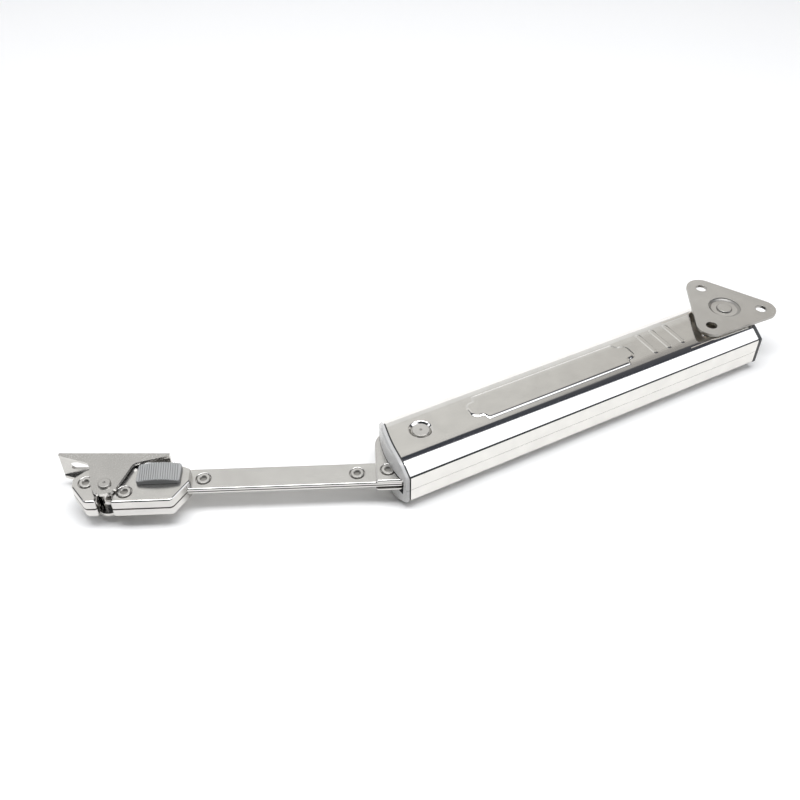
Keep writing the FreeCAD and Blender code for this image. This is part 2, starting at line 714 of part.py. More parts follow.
def front_cap():
    """Plastic nose on a rim that follows the curved end, with the slot that the lever leaves by."""
    front = -END_BULGE - CAP_GAP - CAP_RIM
    inner, outer = end_drum(CAP_GAP), end_drum(CAP_GAP + CAP_RIM)
    rim = rounded_section(0.0, front, END_SPAN, CROWN_RISE, FACET_EDGE_RADIUS, SIDE_EDGE_RADIUS)
    rim = rim.common(outer).cut(inner)
    rim = softened(rim, CAP_EDGE_RADIUS, on_drum(END_RADIUS + CAP_GAP + CAP_RIM))
    nose = rounded_section(NOSE_INSET, front - NOSE_FOOT_REACH, END_SPAN, CROWN_RISE,
                           FACET_EDGE_RADIUS, SIDE_EDGE_RADIUS)
    body = rim.fuse(nose.common(nose_drum()).cut(inner))
    plug = cap_plug(front, END_SPAN + CAP_PLUG_LENGTH)
    body = body.fuse(plug.common(inner).cut(end_drum(-CAP_PLUG_LENGTH)))
    low, high = MID - NOSE_SLOT_HALF, MID + NOSE_SLOT_HALF
    corner = turn(-LEVER_INNER_FRONT, -LEVER_FRONT, -ARM_AT_REST)
    slot = box(front - NOSE_FOOT_REACH, END_SPAN + CAP_PLUG_LENGTH,
               LEVER_PIVOT_V + corner[1] - NOSE_SLOT_PLAY, HOUSING_HALF_WIDTH + PAST, low, high)
    return body.cut(slot).removeSplitter()


def rear_cap():
    start = HOUSING_LENGTH + REAR_CAP_GAP
    body = rounded_section(0.0, start, start + REAR_CAP_PLATE, CROWN_RISE,
                           FACET_EDGE_RADIUS, SIDE_EDGE_RADIUS)
    body = softened(body, CAP_EDGE_RADIUS, across_at(start + REAR_CAP_PLATE))
    body = body.fuse(cap_plug(start - CAP_PLUG_LENGTH, start))
    plug_notch = box(start - CAP_PLUG_LENGTH - PAST, start, -RECESS_HALF_WIDTH,
                     RECESS_HALF_WIDTH, RECESS_FLOOR, PLATE_TOP + PAST)
    dish_notch = box(start - PAST, start + REAR_CAP_PLATE + PAST,
                     PLATE_PIVOT_V - DISH_RADIUS - PLATE_SHEET, RECESS_HALF_WIDTH,
                     RECESS_FLOOR, PLATE_TOP + PAST)
    return body.cut(plug_notch).cut(dish_notch).removeSplitter()


# Spring frame

def frame_holes():
    """Uprights for every pin and rivet that crosses the frame."""
    low, high = 0.0, HOUSING_HEIGHT
    return [
        post(LEVER_PIVOT_U, LEVER_PIVOT_V, LEVER_PIN_RADIUS, low, high),
        post(REAR_RIVET_U, REAR_RIVET_V, FRAME_RIVET_RADIUS, low, high),
        post(SEAT_START + SEAT_LENGTH / 2.0, 0.0, FRAME_RIVET_RADIUS, low, high),
    ]


def frame_channel(way):
    """One channel of the spring frame; way is 1 for the upper one and -1 for the lower."""
    end = HOUSING_LENGTH + REAR_CAP_GAP - FRAME_END_GAP
    w = FRAME_HALF_WIDTH
    web_out = MID + way * FRAME_HALF_HEIGHT
    web_in = MID + way * FRAME_INNER
    lip = MID + way * LAYER_GAP
    web = prism(rounded_wire([(FRAME_FRONT, -w, FRAME_CORNER_RADIUS), (end, -w, 0),
                              (end, w, 0), (FRAME_FRONT, w, FRAME_CORNER_RADIUS)]),
                min(web_in, web_out), max(web_in, web_out))
    body = web
    for side in (-1, 1):
        near, far = sorted((side * (w - FRAME_SHEET), side * w))
        body = body.fuse(box(FRAME_FLANGE_START, end, near, far,
                             min(lip, web_in), max(lip, web_in)))
    for hole in frame_holes():
        body = body.cut(hole)
    if way > 0:
        body = body.cut(post(PLATE_PIVOT_U, PLATE_PIVOT_V, PLATE_RIVET_RADIUS,
                             0.0, HOUSING_HEIGHT))
    return body.removeSplitter()


def through_rivet(u, v, radius):
    """A rivet through both frame webs, with a flat head outside each web."""
    r, h, edge = RIVET_HEAD_RADIUS, RIVET_HEAD_HEIGHT, RIVET_HEAD_EDGE
    top, bottom = MID + FRAME_HALF_HEIGHT, MID - FRAME_HALF_HEIGHT
    return turned(u, v, [(0, bottom - h), (r - edge, bottom - h), (r, bottom - h + edge),
                         (r, bottom), (radius, bottom), (radius, top), (r, top),
                         (r, top + h - edge), (r - edge, top + h), (0, top + h)])


def frame_rivets():
    return Part.makeCompound([
        through_rivet(REAR_RIVET_U, REAR_RIVET_V, FRAME_RIVET_RADIUS),
        through_rivet(SEAT_START + SEAT_LENGTH / 2.0, 0.0, FRAME_RIVET_RADIUS)])


def pin_levels(way):
    """Heights of the outer end, head seat and neck shoulder of the lever pin."""
    face = pin_face(way)
    floor = face - way * PIN_RECESS_DEPTH
    return face - way * PIN_HEAD_SINK, floor, floor - way * COVER_WALL


def lever_pin():
    end_low, floor_low, neck_low = pin_levels(-1)
    end_high, floor_high, neck_high = pin_levels(1)
    head, neck, shaft, edge = PIN_HEAD_RADIUS, PIN_NECK_RADIUS, LEVER_PIN_RADIUS, PIN_HEAD_EDGE
    pin = turned(LEVER_PIVOT_U, LEVER_PIVOT_V, [
        (0, end_low), (head - edge, end_low), (head, end_low + edge), (head, floor_low),
        (neck, floor_low), (neck, neck_low), (shaft, neck_low), (shaft, neck_high),
        (neck, neck_high), (neck, floor_high), (head, floor_high), (head, end_high - edge),
        (head - edge, end_high), (0, end_high)])
    return pin.cut(centre_mark(LEVER_PIVOT_U, LEVER_PIVOT_V, end_high,
                               PIN_CENTRE_RADIUS, PIN_CENTRE_DEPTH))


def centre_mark(x, y, top, radius, depth):
    """The small cone that a riveting tool leaves in the middle of a head."""
    return Part.makeCone(0.0, radius, depth, vec(x, y, top - depth))


def pin_collars():
    """Collars between the frame webs and the covers."""
    out = []
    for way in (-1, 1):
        web = MID + way * FRAME_HALF_HEIGHT
        seat = pin_levels(way)[2]
        out.append(ring(LEVER_PIVOT_U, LEVER_PIVOT_V, LEVER_PIN_RADIUS + PIN_COLLAR_WALL,
                        LEVER_PIN_RADIUS,
                        min(web, seat), max(web, seat)))
    return Part.makeCompound(out)


def lever_washers():
    """Washers that centre the lever between the frame webs."""
    out = []
    for way in (-1, 1):
        web = MID + way * FRAME_INNER
        face = MID + way * (LEVER_OUTER + SIDE_PLAY)
        out.append(ring(LEVER_PIVOT_U, LEVER_PIVOT_V, LEVER_PIN_RADIUS + LEVER_WASHER_WALL,
                        LEVER_PIN_RADIUS,
                        min(web, face), max(web, face)))
    return Part.makeCompound(out)


# Springs and slider

def coil(mean_radius, wire_side, turns, length, round_wire):
    """A compression spring along +z from 0 to length."""
    height = length - wire_side
    path = Part.makeHelix(height / turns, height, mean_radius)
    half = wire_side / 2.0
    if round_wire:
        section = Part.Wire(Part.Circle(vec(mean_radius, 0, 0), vec(0, 1, 0), half).toShape())
    else:
        section = Part.makePolygon([
            vec(mean_radius - half, 0, -half), vec(mean_radius + half, 0, -half),
            vec(mean_radius + half, 0, half), vec(mean_radius - half, 0, half),
            vec(mean_radius - half, 0, -half)])
    spring = Part.Wire(path.Edges).makePipeShell([section], True, True)
    spring.translate(vec(0, 0, half))
    return spring


def along_u(shape, u, v, z):
    """Lay a shape made along +z along +u, from the point (u, v, z)."""
    out = shape.copy()
    out.rotate(vec(0, 0), vec(0, 1, 0), 90)
    out.translate(vec(u, v, z))
    return out


def main_springs():
    length = SEAT_START - SLIDER_BACK - 2 * LAYER_GAP
    spring = coil(SPRING_MEAN_RADIUS, SPRING_WIRE, SPRING_TURNS, length, False)
    return Part.makeCompound([
        along_u(spring, SLIDER_BACK + LAYER_GAP, side * SPRING_OFFSET, MID)
        for side in (-1, 1)])


def guide_rods():
    """Rods fixed in the slider; their rear ends run in the spring seat."""
    start = SLIDER_FRONT + ROD_SHOULDER
    length = SEAT_START + ROD_OVERLAP - start
    return Part.makeCompound([
        along_u(Part.makeCylinder(ROD_RADIUS, length), start, side * SPRING_OFFSET, MID)
        for side in (-1, 1)])


def block(u0, u1):
    """A block that fills the inside of the spring frame with a little play."""
    w = FRAME_HALF_WIDTH - FRAME_SHEET - SIDE_PLAY
    h = FRAME_INNER - SIDE_PLAY
    return box(u0, u1, -w, w, MID - h, MID + h)


def spring_seat():
    body = block(SEAT_START, SEAT_START + SEAT_LENGTH)
    for side in (-1, 1):
        body = body.cut(along_u(Part.makeCylinder(ROD_RADIUS + RUNNING_FIT, SEAT_LENGTH),
                                SEAT_START, side * SPRING_OFFSET, MID))
    middle = SEAT_START + SEAT_LENGTH / 2.0
    return body.cut(post(middle, 0.0, FRAME_RIVET_RADIUS, 0.0, HOUSING_HEIGHT))


def slider():
    """Block on the guide rods with a fork for the cam roller."""
    body = block(SLIDER_FRONT, SLIDER_BACK)
    high = FRAME_INNER - SIDE_PLAY
    low = ARM_HALF + SIDE_PLAY
    w = FORK_HALF_WIDTH
    root = SLIDER_FRONT + FORK_ROOT
    ear = rounded_wire([(AXLE_U - w, LEVER_PIVOT_V - w, w * ROUND_END),
                        (root, LEVER_PIVOT_V - w, 0), (root, LEVER_PIVOT_V + w, 0),
                        (AXLE_U - w, LEVER_PIVOT_V + w, w * ROUND_END)])
    for z0, z1 in ((MID - high, MID - low), (MID + low, MID + high)):
        body = body.fuse(prism(ear, z0, z1))
    for side in (-1, 1):
        body = body.cut(along_u(Part.makeCylinder(ROD_RADIUS, SLIDER_LENGTH),
                                SLIDER_FRONT + ROD_SHOULDER, side * SPRING_OFFSET, MID))
    return body.cut(post(AXLE_U, LEVER_PIVOT_V, AXLE_RADIUS, 0.0, HOUSING_HEIGHT))


def roller_axle():
    high = FRAME_INNER - SIDE_PLAY
    return post(AXLE_U, LEVER_PIVOT_V, AXLE_RADIUS, MID - high, MID + high)


def cam_roller():
    return ring(AXLE_U, LEVER_PIVOT_V, ROLLER_RADIUS, AXLE_RADIUS + RUNNING_FIT,
                MID - ARM_HALF, MID + ARM_HALF)


# Lever and arm

def lever_wire():
    """Outline of a lever plate in the arm frame."""
    left, front, back = -LEVER_LEFT, -LEVER_FRONT, LEVER_BACK
    hub, blend = HUB_RADIUS, LEVER_HUB_BLEND
    return rounded_wire([
        (left, front, LEVER_CORNER_RADIUS), (-LEVER_INNER_FRONT, front, LEVER_INNER_RADIUS),
        (hub, -hub, hub * ROUND_END), (hub, hub, hub * ROUND_END), (-hub / 2, hub, blend),
        (-LEVER_INNER_BACK, back, blend), (left, back, LEVER_BACK_RADIUS)])


def cam_point(angle):
    """A point of the cam's flank, in the housing frame about the pivot.

    The roller's centre runs on a spiral whose radius grows evenly with the angle, so the
    slider's travel is in a fixed ratio to the lever's turn.
    """
    rho = CAM_START_DISTANCE + CAM_RATE * angle
    tx = CAM_RATE * cos(angle) - rho * sin(angle)
    ty = CAM_RATE * sin(angle) + rho * cos(angle)
    length = hypot(tx, ty)
    inward = ROLLER_RADIUS + CAM_GAP
    return (rho * cos(angle) - ty / length * inward, rho * sin(angle) + tx / length * inward)


def cam_lobe():
    """The cam's working lobe as a solid in the arm frame."""
    first = radians(-CAM_LEAD_IN)
    last = radians(LEVER_FOLD + CAM_RUN_OUT)
    steps = 12
    flank = [cam_point(first + (last - first) * i / steps) for i in range(steps + 1)]
    curve = Part.BSplineCurve()
    curve.interpolate([vec(x, y) for x, y in flank])
    centre = vec(0, 0)
    wire = Part.Wire([curve.toShape(), Part.makeLine(vec(*flank[-1]), centre),
                      Part.makeLine(centre, vec(*flank[0]))])
    return moved(prism(wire, MID - ARM_HALF, MID + ARM_HALF), ARM_AT_REST)


def cam_rivet_holes():
    return [post(x, y, CAM_RIVET_RADIUS, 0.0, HOUSING_HEIGHT) for x, y in CAM_RIVET_SPOTS]


def lever_cam():
    """Hardened middle plate: hub, working lobe and the tail between the lever plates."""
    low, high = MID - ARM_HALF, MID + ARM_HALF
    tail = prism(lever_wire(), low, high)
    tail = tail.cut(box(-LEVER_LEFT - PAST, ARM_INNER_END + CAM_ARM_GAP, -LEVER_FRONT - PAST,
                        ARM_CENTRE_Y + ARM_WIDTH / 2.0 + CAM_ARM_GAP, low, high))
    tail = tail.cut(box(-LEVER_LEFT - PAST, -CAM_TAIL_LENGTH, -LEVER_FRONT - PAST,
                        LEVER_BACK + PAST, low, high))
    body = tail.fuse(post(0, 0, HUB_RADIUS, low, high)).fuse(cam_lobe())
    body = body.cut(post(0, 0, LEVER_PIN_RADIUS + RUNNING_FIT, low, high))
    for hole in cam_rivet_holes():
        body = body.cut(hole)
    return body.removeSplitter()


def lever_plate(way):
    """One of the two plates that carry the arm and the cam; way is 1 for the upper."""
    inner, outer = MID + way * LEVER_INNER, MID + way * LEVER_OUTER
    body = prism(lever_wire(), min(inner, outer), max(inner, outer))
    body = softened(body, LEVER_EDGE_RADIUS, flat_at(outer))
    body = body.cut(post(0, 0, LEVER_PIN_RADIUS + RUNNING_FIT, 0.0, HOUSING_HEIGHT))
    for hole in cam_rivet_holes():
        body = body.cut(hole)
    return body.cut(screw_hole(LEVER_SCREW_X, ARM_CENTRE_Y, MID + LEVER_OUTER))


def cam_rivets():
    """Flush rivets that hold the cam between the lever plates."""
    return Part.makeCompound([
        post(x, y, CAM_RIVET_RADIUS, MID - LEVER_OUTER, MID + LEVER_OUTER)
        for x, y in CAM_RIVET_SPOTS])


def socket_screw(x, y, top, bottom):
    """A low-head socket screw whose seat lies below the face at height top."""
    seat = top - SCREW_HEAD_SINK
    crown = seat + SCREW_HEAD_HEIGHT
    r, shaft, edge = SCREW_HEAD_RADIUS, SCREW_SHAFT_RADIUS, SCREW_HEAD_EDGE
    body = turned(x, y, [(0, bottom), (shaft, bottom), (shaft, seat), (r, seat),
                         (r, crown - edge), (r - edge, crown), (0, crown)])
    key = SCREW_SOCKET_FLATS / sqrt(3.0)
    hexagon = Part.makePolygon([vec(x + key * cos(radians(60 * k)), y + key * sin(radians(60 * k)))
                                for k in range(7)])
    return body.cut(prism(hexagon, crown - SCREW_SOCKET_DEPTH, crown + PAST))


def screw_hole(x, y, top):
    """The seat and the shaft hole of a socket screw."""
    seat = post(x, y, SCREW_HEAD_RADIUS + SCREW_SEAT_PLAY, top - SCREW_HEAD_SINK, top + PAST)
    return seat.fuse(post(x, y, SCREW_SHAFT_RADIUS, 0.0, top))


def lever_screw():
    return socket_screw(LEVER_SCREW_X, ARM_CENTRE_Y, MID + LEVER_OUTER, MID - LEVER_OUTER)


def arm_plate(way):
    """One of the two flat strips of the arm; way is 1 for the upper."""
    half = ARM_WIDTH / 2.0
    y0, y1 = ARM_CENTRE_Y - half, ARM_CENTRE_Y + half
    inner_end, outer_end = ARM_INNER_RADIUS, ARM_OUTER_RADIUS
    wire = rounded_wire([(ARM_OUTER_END, y0, outer_end), (ARM_INNER_END, y0, inner_end),
                         (ARM_INNER_END, y1, inner_end), (ARM_OUTER_END, y1, outer_end)])
    inner, outer = MID, MID + way * ARM_SHEET
    body = prism(wire, min(inner, outer), max(inner, outer))
    body = softened(body, ARM_EDGE_RADIUS, flat_at(outer))
    for x in ARM_SCREW_XS:
        body = body.cut(screw_hole(x, ARM_CENTRE_Y, MID + ARM_HALF))
    body = body.cut(post(LEVER_SCREW_X, ARM_CENTRE_Y, SCREW_SHAFT_RADIUS, 0, HOUSING_HEIGHT))
    return body.cut(post(HEAD_BOSS_X, ARM_CENTRE_Y, HEAD_BOSS_RADIUS, 0, HOUSING_HEIGHT))


def arm_screws():
    return Part.makeCompound([
        socket_screw(x, ARM_CENTRE_Y, MID + ARM_HALF, MID - ARM_HALF) for x in ARM_SCREW_XS])


# Clip-on head

def head_wire():
    """Outline of the head in the arm frame, with the slot for the bracket's bush."""
    px, py = HEAD_PIN_X, HEAD_PIN_Y
    s, m, r = SLOT_HALF_WIDTH, SLOT_MOUTH_RADIUS, HEAD_CORNER_RADIUS
    front, back = py - HEAD_FRONT_REACH, py + HEAD_BACK_REACH
    left, right = px - HEAD_LEFT_REACH, px + HEAD_RIGHT_REACH
    step = front + HEAD_STEP
    return rounded_wire([
        (px + s, front, m), (right - HEAD_FRONT_RIGHT_CUT[0], front, r),
        (right, front + HEAD_FRONT_RIGHT_CUT[1], r), (right, back - HEAD_BACK_RIGHT_CUT[1], r),
        (right - HEAD_BACK_RIGHT_CUT[0], back, r), (left + HEAD_BACK_LEFT_CUT[0], back, r),
        (left, back - HEAD_BACK_LEFT_CUT[1], r),
        (left + HEAD_LEFT_LEAN, step + HEAD_FRONT_LEFT_CUT[1], r),
        (left + HEAD_LEFT_LEAN + HEAD_FRONT_LEFT_CUT[0], step, r), (px - s, step, m),
        (px - s, py + s, s * ROUND_END), (px + s, py + s, s * ROUND_END)])


def head_blank(way):
    """One half of the head with its outer edge rounded; way is 1 for the upper."""
    outer = MID + way * HEAD_HALF_HEIGHT
    body = prism(head_wire(), min(MID, outer), max(MID, outer))
    body = softened(body, HEAD_EDGE_RADIUS, flat_at(outer))
    return softened(body, HEAD_SPLIT_RADIUS, flat_at(MID))


def arm_pocket():
    half = ARM_WIDTH / 2.0 + POCKET_PLAY
    high = ARM_HALF + LAYER_GAP
    end, mouth = ARM_OUTER_END - POCKET_PLAY, HEAD_PIN_X + HEAD_RIGHT_REACH + PAST
    wire = rounded_wire([(end, ARM_CENTRE_Y - half, ARM_OUTER_RADIUS),
                         (mouth, ARM_CENTRE_Y - half, 0), (mouth, ARM_CENTRE_Y + half, 0),
                         (end, ARM_CENTRE_Y + half, ARM_OUTER_RADIUS)])
    return prism(wire, MID - high, MID + high)


def catch_pocket():
    """Room in the upper half for the catch and its travel."""
    p = 2 * POCKET_PLAY
    py, high = HEAD_PIN_Y, MID + HEAD_CEILING
    nose_front, step = py + CATCH_NOSE_FRONT, py + CATCH_STEP_Y
    nose = box(CATCH_LEFT - PAST, CATCH_MAIN_X, nose_front - p,
               nose_front + CATCH_NOSE_LENGTH + p, MID + LEVER_INNER, high)
    front = box(CATCH_SHOULDER_X - p, HEAD_PIN_X + CATCH_STEP_X + CATCH_TRAVEL + p,
                nose_front - p, step + PAST, MID, high)
    main = box(CATCH_MAIN_X - p, HEAD_PIN_X + CATCH_RIGHT + CATCH_TRAVEL + p,
               step - p, py + CATCH_BACK + p, MID, high)
    return nose.fuse(front).fuse(main)


def spring_pocket():
    """Room in both halves for the catch's spring and tab."""
    r = CATCH_SPRING_RADIUS + CATCH_SPRING_WIRE / 2.0 + POCKET_PLAY
    z = MID - CATCH_SPRING_DROP
    start = CATCH_TAB_X - 2 * POCKET_PLAY
    end = CATCH_TAB_X + CATCH_TAB + CATCH_SPRING_LENGTH
    return box(start, end, CATCH_SPRING_Y - r, CATCH_SPRING_Y + r, z - r, MID + LEVER_INNER)


def head_upper():
    body = head_blank(1).cut(arm_pocket()).cut(catch_pocket()).cut(spring_pocket())
    x, y = BUTTON_POST_X, BUTTON_POST_Y
    a, b = BUTTON_POST_LENGTH / 2.0 + POCKET_PLAY, BUTTON_POST_WIDTH / 2.0 + POCKET_PLAY
    body = body.cut(box(x - a, x + a + CATCH_TRAVEL, y - b, y + b, MID, MID + HEAD_HALF_HEIGHT))
    for sx, sy in HEAD_SCREW_SPOTS:
        body = body.cut(screw_hole(sx, sy, MID + HEAD_HALF_HEIGHT))
    return body


def head_lower():
    body = head_blank(-1).cut(arm_pocket()).cut(spring_pocket())
    boss = post(HEAD_BOSS_X, ARM_CENTRE_Y, HEAD_BOSS_RADIUS, MID - ARM_HALF - LAYER_GAP,
                MID + ARM_HALF)
    body = body.fuse(boss)
    for sx, sy in HEAD_SCREW_SPOTS:
        body = body.cut(post(sx, sy, SCREW_SHAFT_RADIUS, 0.0, HOUSING_HEIGHT))
    return body


def head_screws():
    top = MID + HEAD_HALF_HEIGHT
    bottom = MID - HEAD_HALF_HEIGHT + SCREW_END_SINK
    return Part.makeCompound([socket_screw(x, y, top, bottom) for x, y in HEAD_SCREW_SPOTS])


def release_catch():
    """Sheet catch: its nose closes the slot in front of the bracket's bush."""
    low = MID + CATCH_LOW
    high = low + CATCH_SHEET
    front = HEAD_PIN_Y + CATCH_NOSE_FRONT
    nose_back, step = front + CATCH_NOSE_LENGTH, HEAD_PIN_Y + CATCH_STEP_Y
    right, back = HEAD_PIN_X + CATCH_RIGHT, HEAD_PIN_Y + CATCH_BACK
    front_right, r, tip = HEAD_PIN_X + CATCH_STEP_X, CATCH_CORNER_RADIUS, CATCH_NOSE_RADIUS
    body = prism(rounded_wire([
        (CATCH_LEFT, front + CATCH_NOSE_LEAN, tip), (CATCH_SHOULDER_X, front, r),
        (front_right, front, r), (front_right, step, r), (right, step, r), (right, back, r),
        (CATCH_MAIN_X, back, r), (CATCH_MAIN_X, step, r), (CATCH_SHOULDER_X, step, r),
        (CATCH_SHOULDER_X, nose_back, tip), (CATCH_LEFT, nose_back, tip)]), low, high)
    reach = CATCH_SPRING_RADIUS
    tab = box(CATCH_TAB_X, CATCH_TAB_X + CATCH_TAB, CATCH_SPRING_Y - reach,
              CATCH_SPRING_Y + reach, MID - CATCH_SPRING_DROP - reach, low + CATCH_TAB_OVERLAP)
    body = body.fuse(tab)
    sx, sy = HEAD_SCREW_SPOTS[1]
    play = SCREW_SHAFT_RADIUS + POCKET_PLAY
    body = body.cut(prism(slot_wire(sx - CATCH_TRAVEL / 2.0, sy, 2 * play + CATCH_TRAVEL, play),
                          low, high))
    x, y = BUTTON_POST_X, BUTTON_POST_Y
    a, b = BUTTON_POST_LENGTH / 2.0, BUTTON_POST_WIDTH / 2.0
    return body.cut(box(x - a, x + a, y - b, y + b, low, high)).removeSplitter()


def catch_spring():
    length = CATCH_SPRING_LENGTH - 2 * LAYER_GAP
    spring = coil(CATCH_SPRING_RADIUS, CATCH_SPRING_WIRE, CATCH_SPRING_TURNS, length, True)
    return along_u(spring, CATCH_TAB_X + CATCH_TAB + LAYER_GAP, CATCH_SPRING_Y,
                   MID - CATCH_SPRING_DROP)


def release_button():
    """Crowned thumb button with cross ribs, and the post that drives the catch."""
    base = MID + HEAD_HALF_HEIGHT + BUTTON_LIFT
    edge = base + BUTTON_EDGE_HEIGHT
    left, front = HEAD_PIN_X + BUTTON_START, HEAD_PIN_Y + BUTTON_FRONT_OFFSET
    right, back = left + BUTTON_LENGTH, front + BUTTON_WIDTH
    half = BUTTON_LENGTH / 2.0
    middle = left + half
    side = Part.Face(Part.Wire([
        Part.makeLine(vec(left, front, base), vec(right, front, base)),
        Part.makeLine(vec(right, front, base), vec(right, front, edge)),
        Part.Arc(vec(right, front, edge), vec(middle, front, edge + BUTTON_CROWN),
                 vec(left, front, edge)).toShape(),
        Part.makeLine(vec(left, front, edge), vec(left, front, base))]))
    body = side.extrude(vec(0, BUTTON_WIDTH, 0))
    r = BUTTON_CORNER_RADIUS
    body = body.common(prism(rounded_wire([
        (left, front, r), (right, front, r), (right, back, r), (left, back, r)]),
        base, edge + BUTTON_CROWN + PAST))
    body = softened(body, BUTTON_EDGE_RADIUS, lambda e: e.BoundBox.ZMin > base + PAST)
    arc = (half ** 2 + BUTTON_CROWN ** 2) / (2 * BUTTON_CROWN)
    count = int((half - BUTTON_RIB_MARGIN) / BUTTON_RIB_PITCH)
    for k in range(-count, count + 1):
        x = middle + k * BUTTON_RIB_PITCH
        top = edge + BUTTON_CROWN - arc + sqrt(arc ** 2 - (x - middle) ** 2)
        body = body.cut(box(x - BUTTON_RIB_GROOVE / 2.0, x + BUTTON_RIB_GROOVE / 2.0,
                            front - PAST, back + PAST, top - BUTTON_RIB_DEPTH, top + PAST))
    x, y = BUTTON_POST_X, BUTTON_POST_Y
    a, b = BUTTON_POST_LENGTH / 2.0, BUTTON_POST_WIDTH / 2.0
    return body.fuse(box(x - a, x + a, y - b, y + b, MID + CATCH_LOW,
                         base + BUTTON_POST_OVERLAP))


# Flap bracket

def ear_wire():
    """Outline of a bracket ear: a broad tee whose stem runs straight to the pin eye."""
    half, back = BRACKET_HALF_LENGTH, BRACKET_WEB_BACK
    tip = back - BRACKET_TIP
    e = BRACKET_EYE_RADIUS
    sx, sy, sr = BRACKET_SHOULDER_X, BRACKET_SHOULDER_Y, BRACKET_SHOULDER_RADIUS
    lean = acos(e / hypot(sx, sy)) - atan2(sy, sx)
    foot = e * (1.0 - sin(lean)) / cos(lean)
    right = [(half, tip, BRACKET_TIP_RADIUS), (sx, sy, sr), (foot, -e, e * ROUND_END)]
    left = [(-x, y, r) for x, y, r in reversed(right)]
    return rounded_wire([(-half, back, 0.0), (half, back, 0.0)] + right + left)


def flap_bracket():
    z0, z1 = MID - BRACKET_HALF, MID + BRACKET_HALF
    t = BRACKET_SHEET

    def ear_edge(edge):
        return (flat_at(z0)(edge) or flat_at(z1)(edge)) and not at_back(edge)

    def at_back(edge):
        return abs(edge.BoundBox.YMin - BRACKET_WEB_BACK) < 1e-3

    def bend(edge):
        return at_back(edge) and edge.BoundBox.XLength > BRACKET_HALF_LENGTH

    body = softened(prism(ear_wire(), z0, z1), BRACKET_BEND_RADIUS, bend)
    body = softened(body, BRACKET_EDGE_RADIUS, ear_edge)
    reach = BRACKET_HALF_LENGTH + PAST
    body = body.cut(box(-reach, reach, -BRACKET_EYE_RADIUS - PAST, BRACKET_WEB_BACK - t,
                        z0 + t, z1 - t))
    for side in (-1, 1):
        slot = slot_wire(side * BRACKET_SLOT_SPACING / 2.0, 0.0,
                         BRACKET_SLOT_LENGTH, BRACKET_SLOT_RADIUS)
        cutter = prism(slot, -PAST, t + PAST)
        cutter.rotate(vec(0, 0), vec(1, 0, 0), 90)
        cutter.translate(vec(0, BRACKET_WEB_BACK, MID))
        body = body.cut(cutter)
    return body.cut(post(0, 0, BRACKET_PIN_RADIUS, z0, z1))


def bracket_pin():
    """Headed rivet through both ears and the bush."""
    z0, z1 = MID - BRACKET_HALF, MID + BRACKET_HALF
    r, head, h = BRACKET_PIN_RADIUS, BRACKET_PIN_HEAD_RADIUS, BRACKET_PIN_HEAD_HEIGHT
    edge = BRACKET_PIN_EDGE
    pin = turned(0, 0, [(0, z0 - h), (head - edge, z0 - h), (head, z0 - h + edge), (head, z0),
                        (r, z0), (r, z1), (head, z1), (head, z1 + h - edge),
                        (head - edge, z1 + h), (0, z1 + h)])
    return pin.cut(centre_mark(0, 0, z1 + h, BRACKET_PIN_CENTRE_RADIUS,
                               BRACKET_PIN_CENTRE_DEPTH))


def bracket_bush():
    half = BRACKET_HALF - BRACKET_SHEET - LAYER_GAP
    return ring(0, 0, BUSH_RADIUS, BRACKET_PIN_RADIUS, MID - half, MID + half)


# Cabinet plate

def mounting_plate():
    """Rounded triangle with three screw holes and a dished middle."""
    reach = PLATE_HOLE_PITCH / sqrt(3.0)
    hole_angles = (-90, 30, 150)
    corner = reach + 2 * PLATE_CORNER_RADIUS
    outline = rounded_wire([(corner * cos(radians(a)), corner * sin(radians(a)),
                             PLATE_CORNER_RADIUS) for a in hole_angles])
    top, under = PLATE_TOP, PLATE_TOP - PLATE_SHEET
    body = prism(outline, under, top)
    body = softened(body, PLATE_EDGE_RADIUS, flat_at(top))
    floor = top - DISH_DEPTH
    inner, rim = DISH_RADIUS - DISH_SLOPE, DISH_RADIUS
    cup = turned(0, 0, [(0, floor - PLATE_SHEET), (inner + PLATE_SHEET / 2.0, floor - PLATE_SHEET),
                        (rim + PLATE_SHEET / 2.0, under + LAYER_GAP), (0, under + LAYER_GAP)])
    pocket = turned(0, 0, [(0, floor), (inner, floor), (rim, top), (rim, top + PAST),
                           (0, top + PAST)])
    body = body.fuse(cup).cut(pocket)
    body = softened(body, DISH_EDGE_RADIUS, round_edge_at(top, 0, 0, rim))
    body = body.cut(post(0, 0, PLATE_RIVET_RADIUS + RUNNING_FIT, 0, top))
    for a in hole_angles:
        x, y = reach * cos(radians(a)), reach * sin(radians(a))
        body = body.cut(post(x, y, PLATE_HOLE_RADIUS, 0, top))
        body = softened(body, PLATE_HOLE_EDGE_RADIUS, round_edge_at(top, x, y, PLATE_HOLE_RADIUS))
    return body.removeSplitter()


def plate_rivet():
    """Rivet that holds the cabinet plate to the upper frame channel."""
    seat = PLATE_TOP - DISH_DEPTH + SIDE_PLAY / 2.0
    crown = seat + PLATE_RIVET_HEAD_HEIGHT
    web = MID + FRAME_INNER
    tail = web - PLATE_RIVET_HEAD_HEIGHT
    r, head, edge = PLATE_RIVET_RADIUS, PLATE_RIVET_HEAD_RADIUS, PLATE_RIVET_EDGE
    return turned(PLATE_PIVOT_U, PLATE_PIVOT_V, [
        (0, tail), (head - edge, tail), (head, tail + edge), (head, web), (r, web),
        (r, seat), (head, seat), (head, crown - edge), (head - edge, crown), (0, crown)])


def plate_spacer():
    dish_under = PLATE_TOP - DISH_DEPTH - PLATE_SHEET
    return ring(PLATE_PIVOT_U, PLATE_PIVOT_V, PLATE_RIVET_RADIUS + PLATE_SPACER_WALL,
                PLATE_RIVET_RADIUS,
                MID + FRAME_HALF_HEIGHT, dish_under - SIDE_PLAY / 2.0)


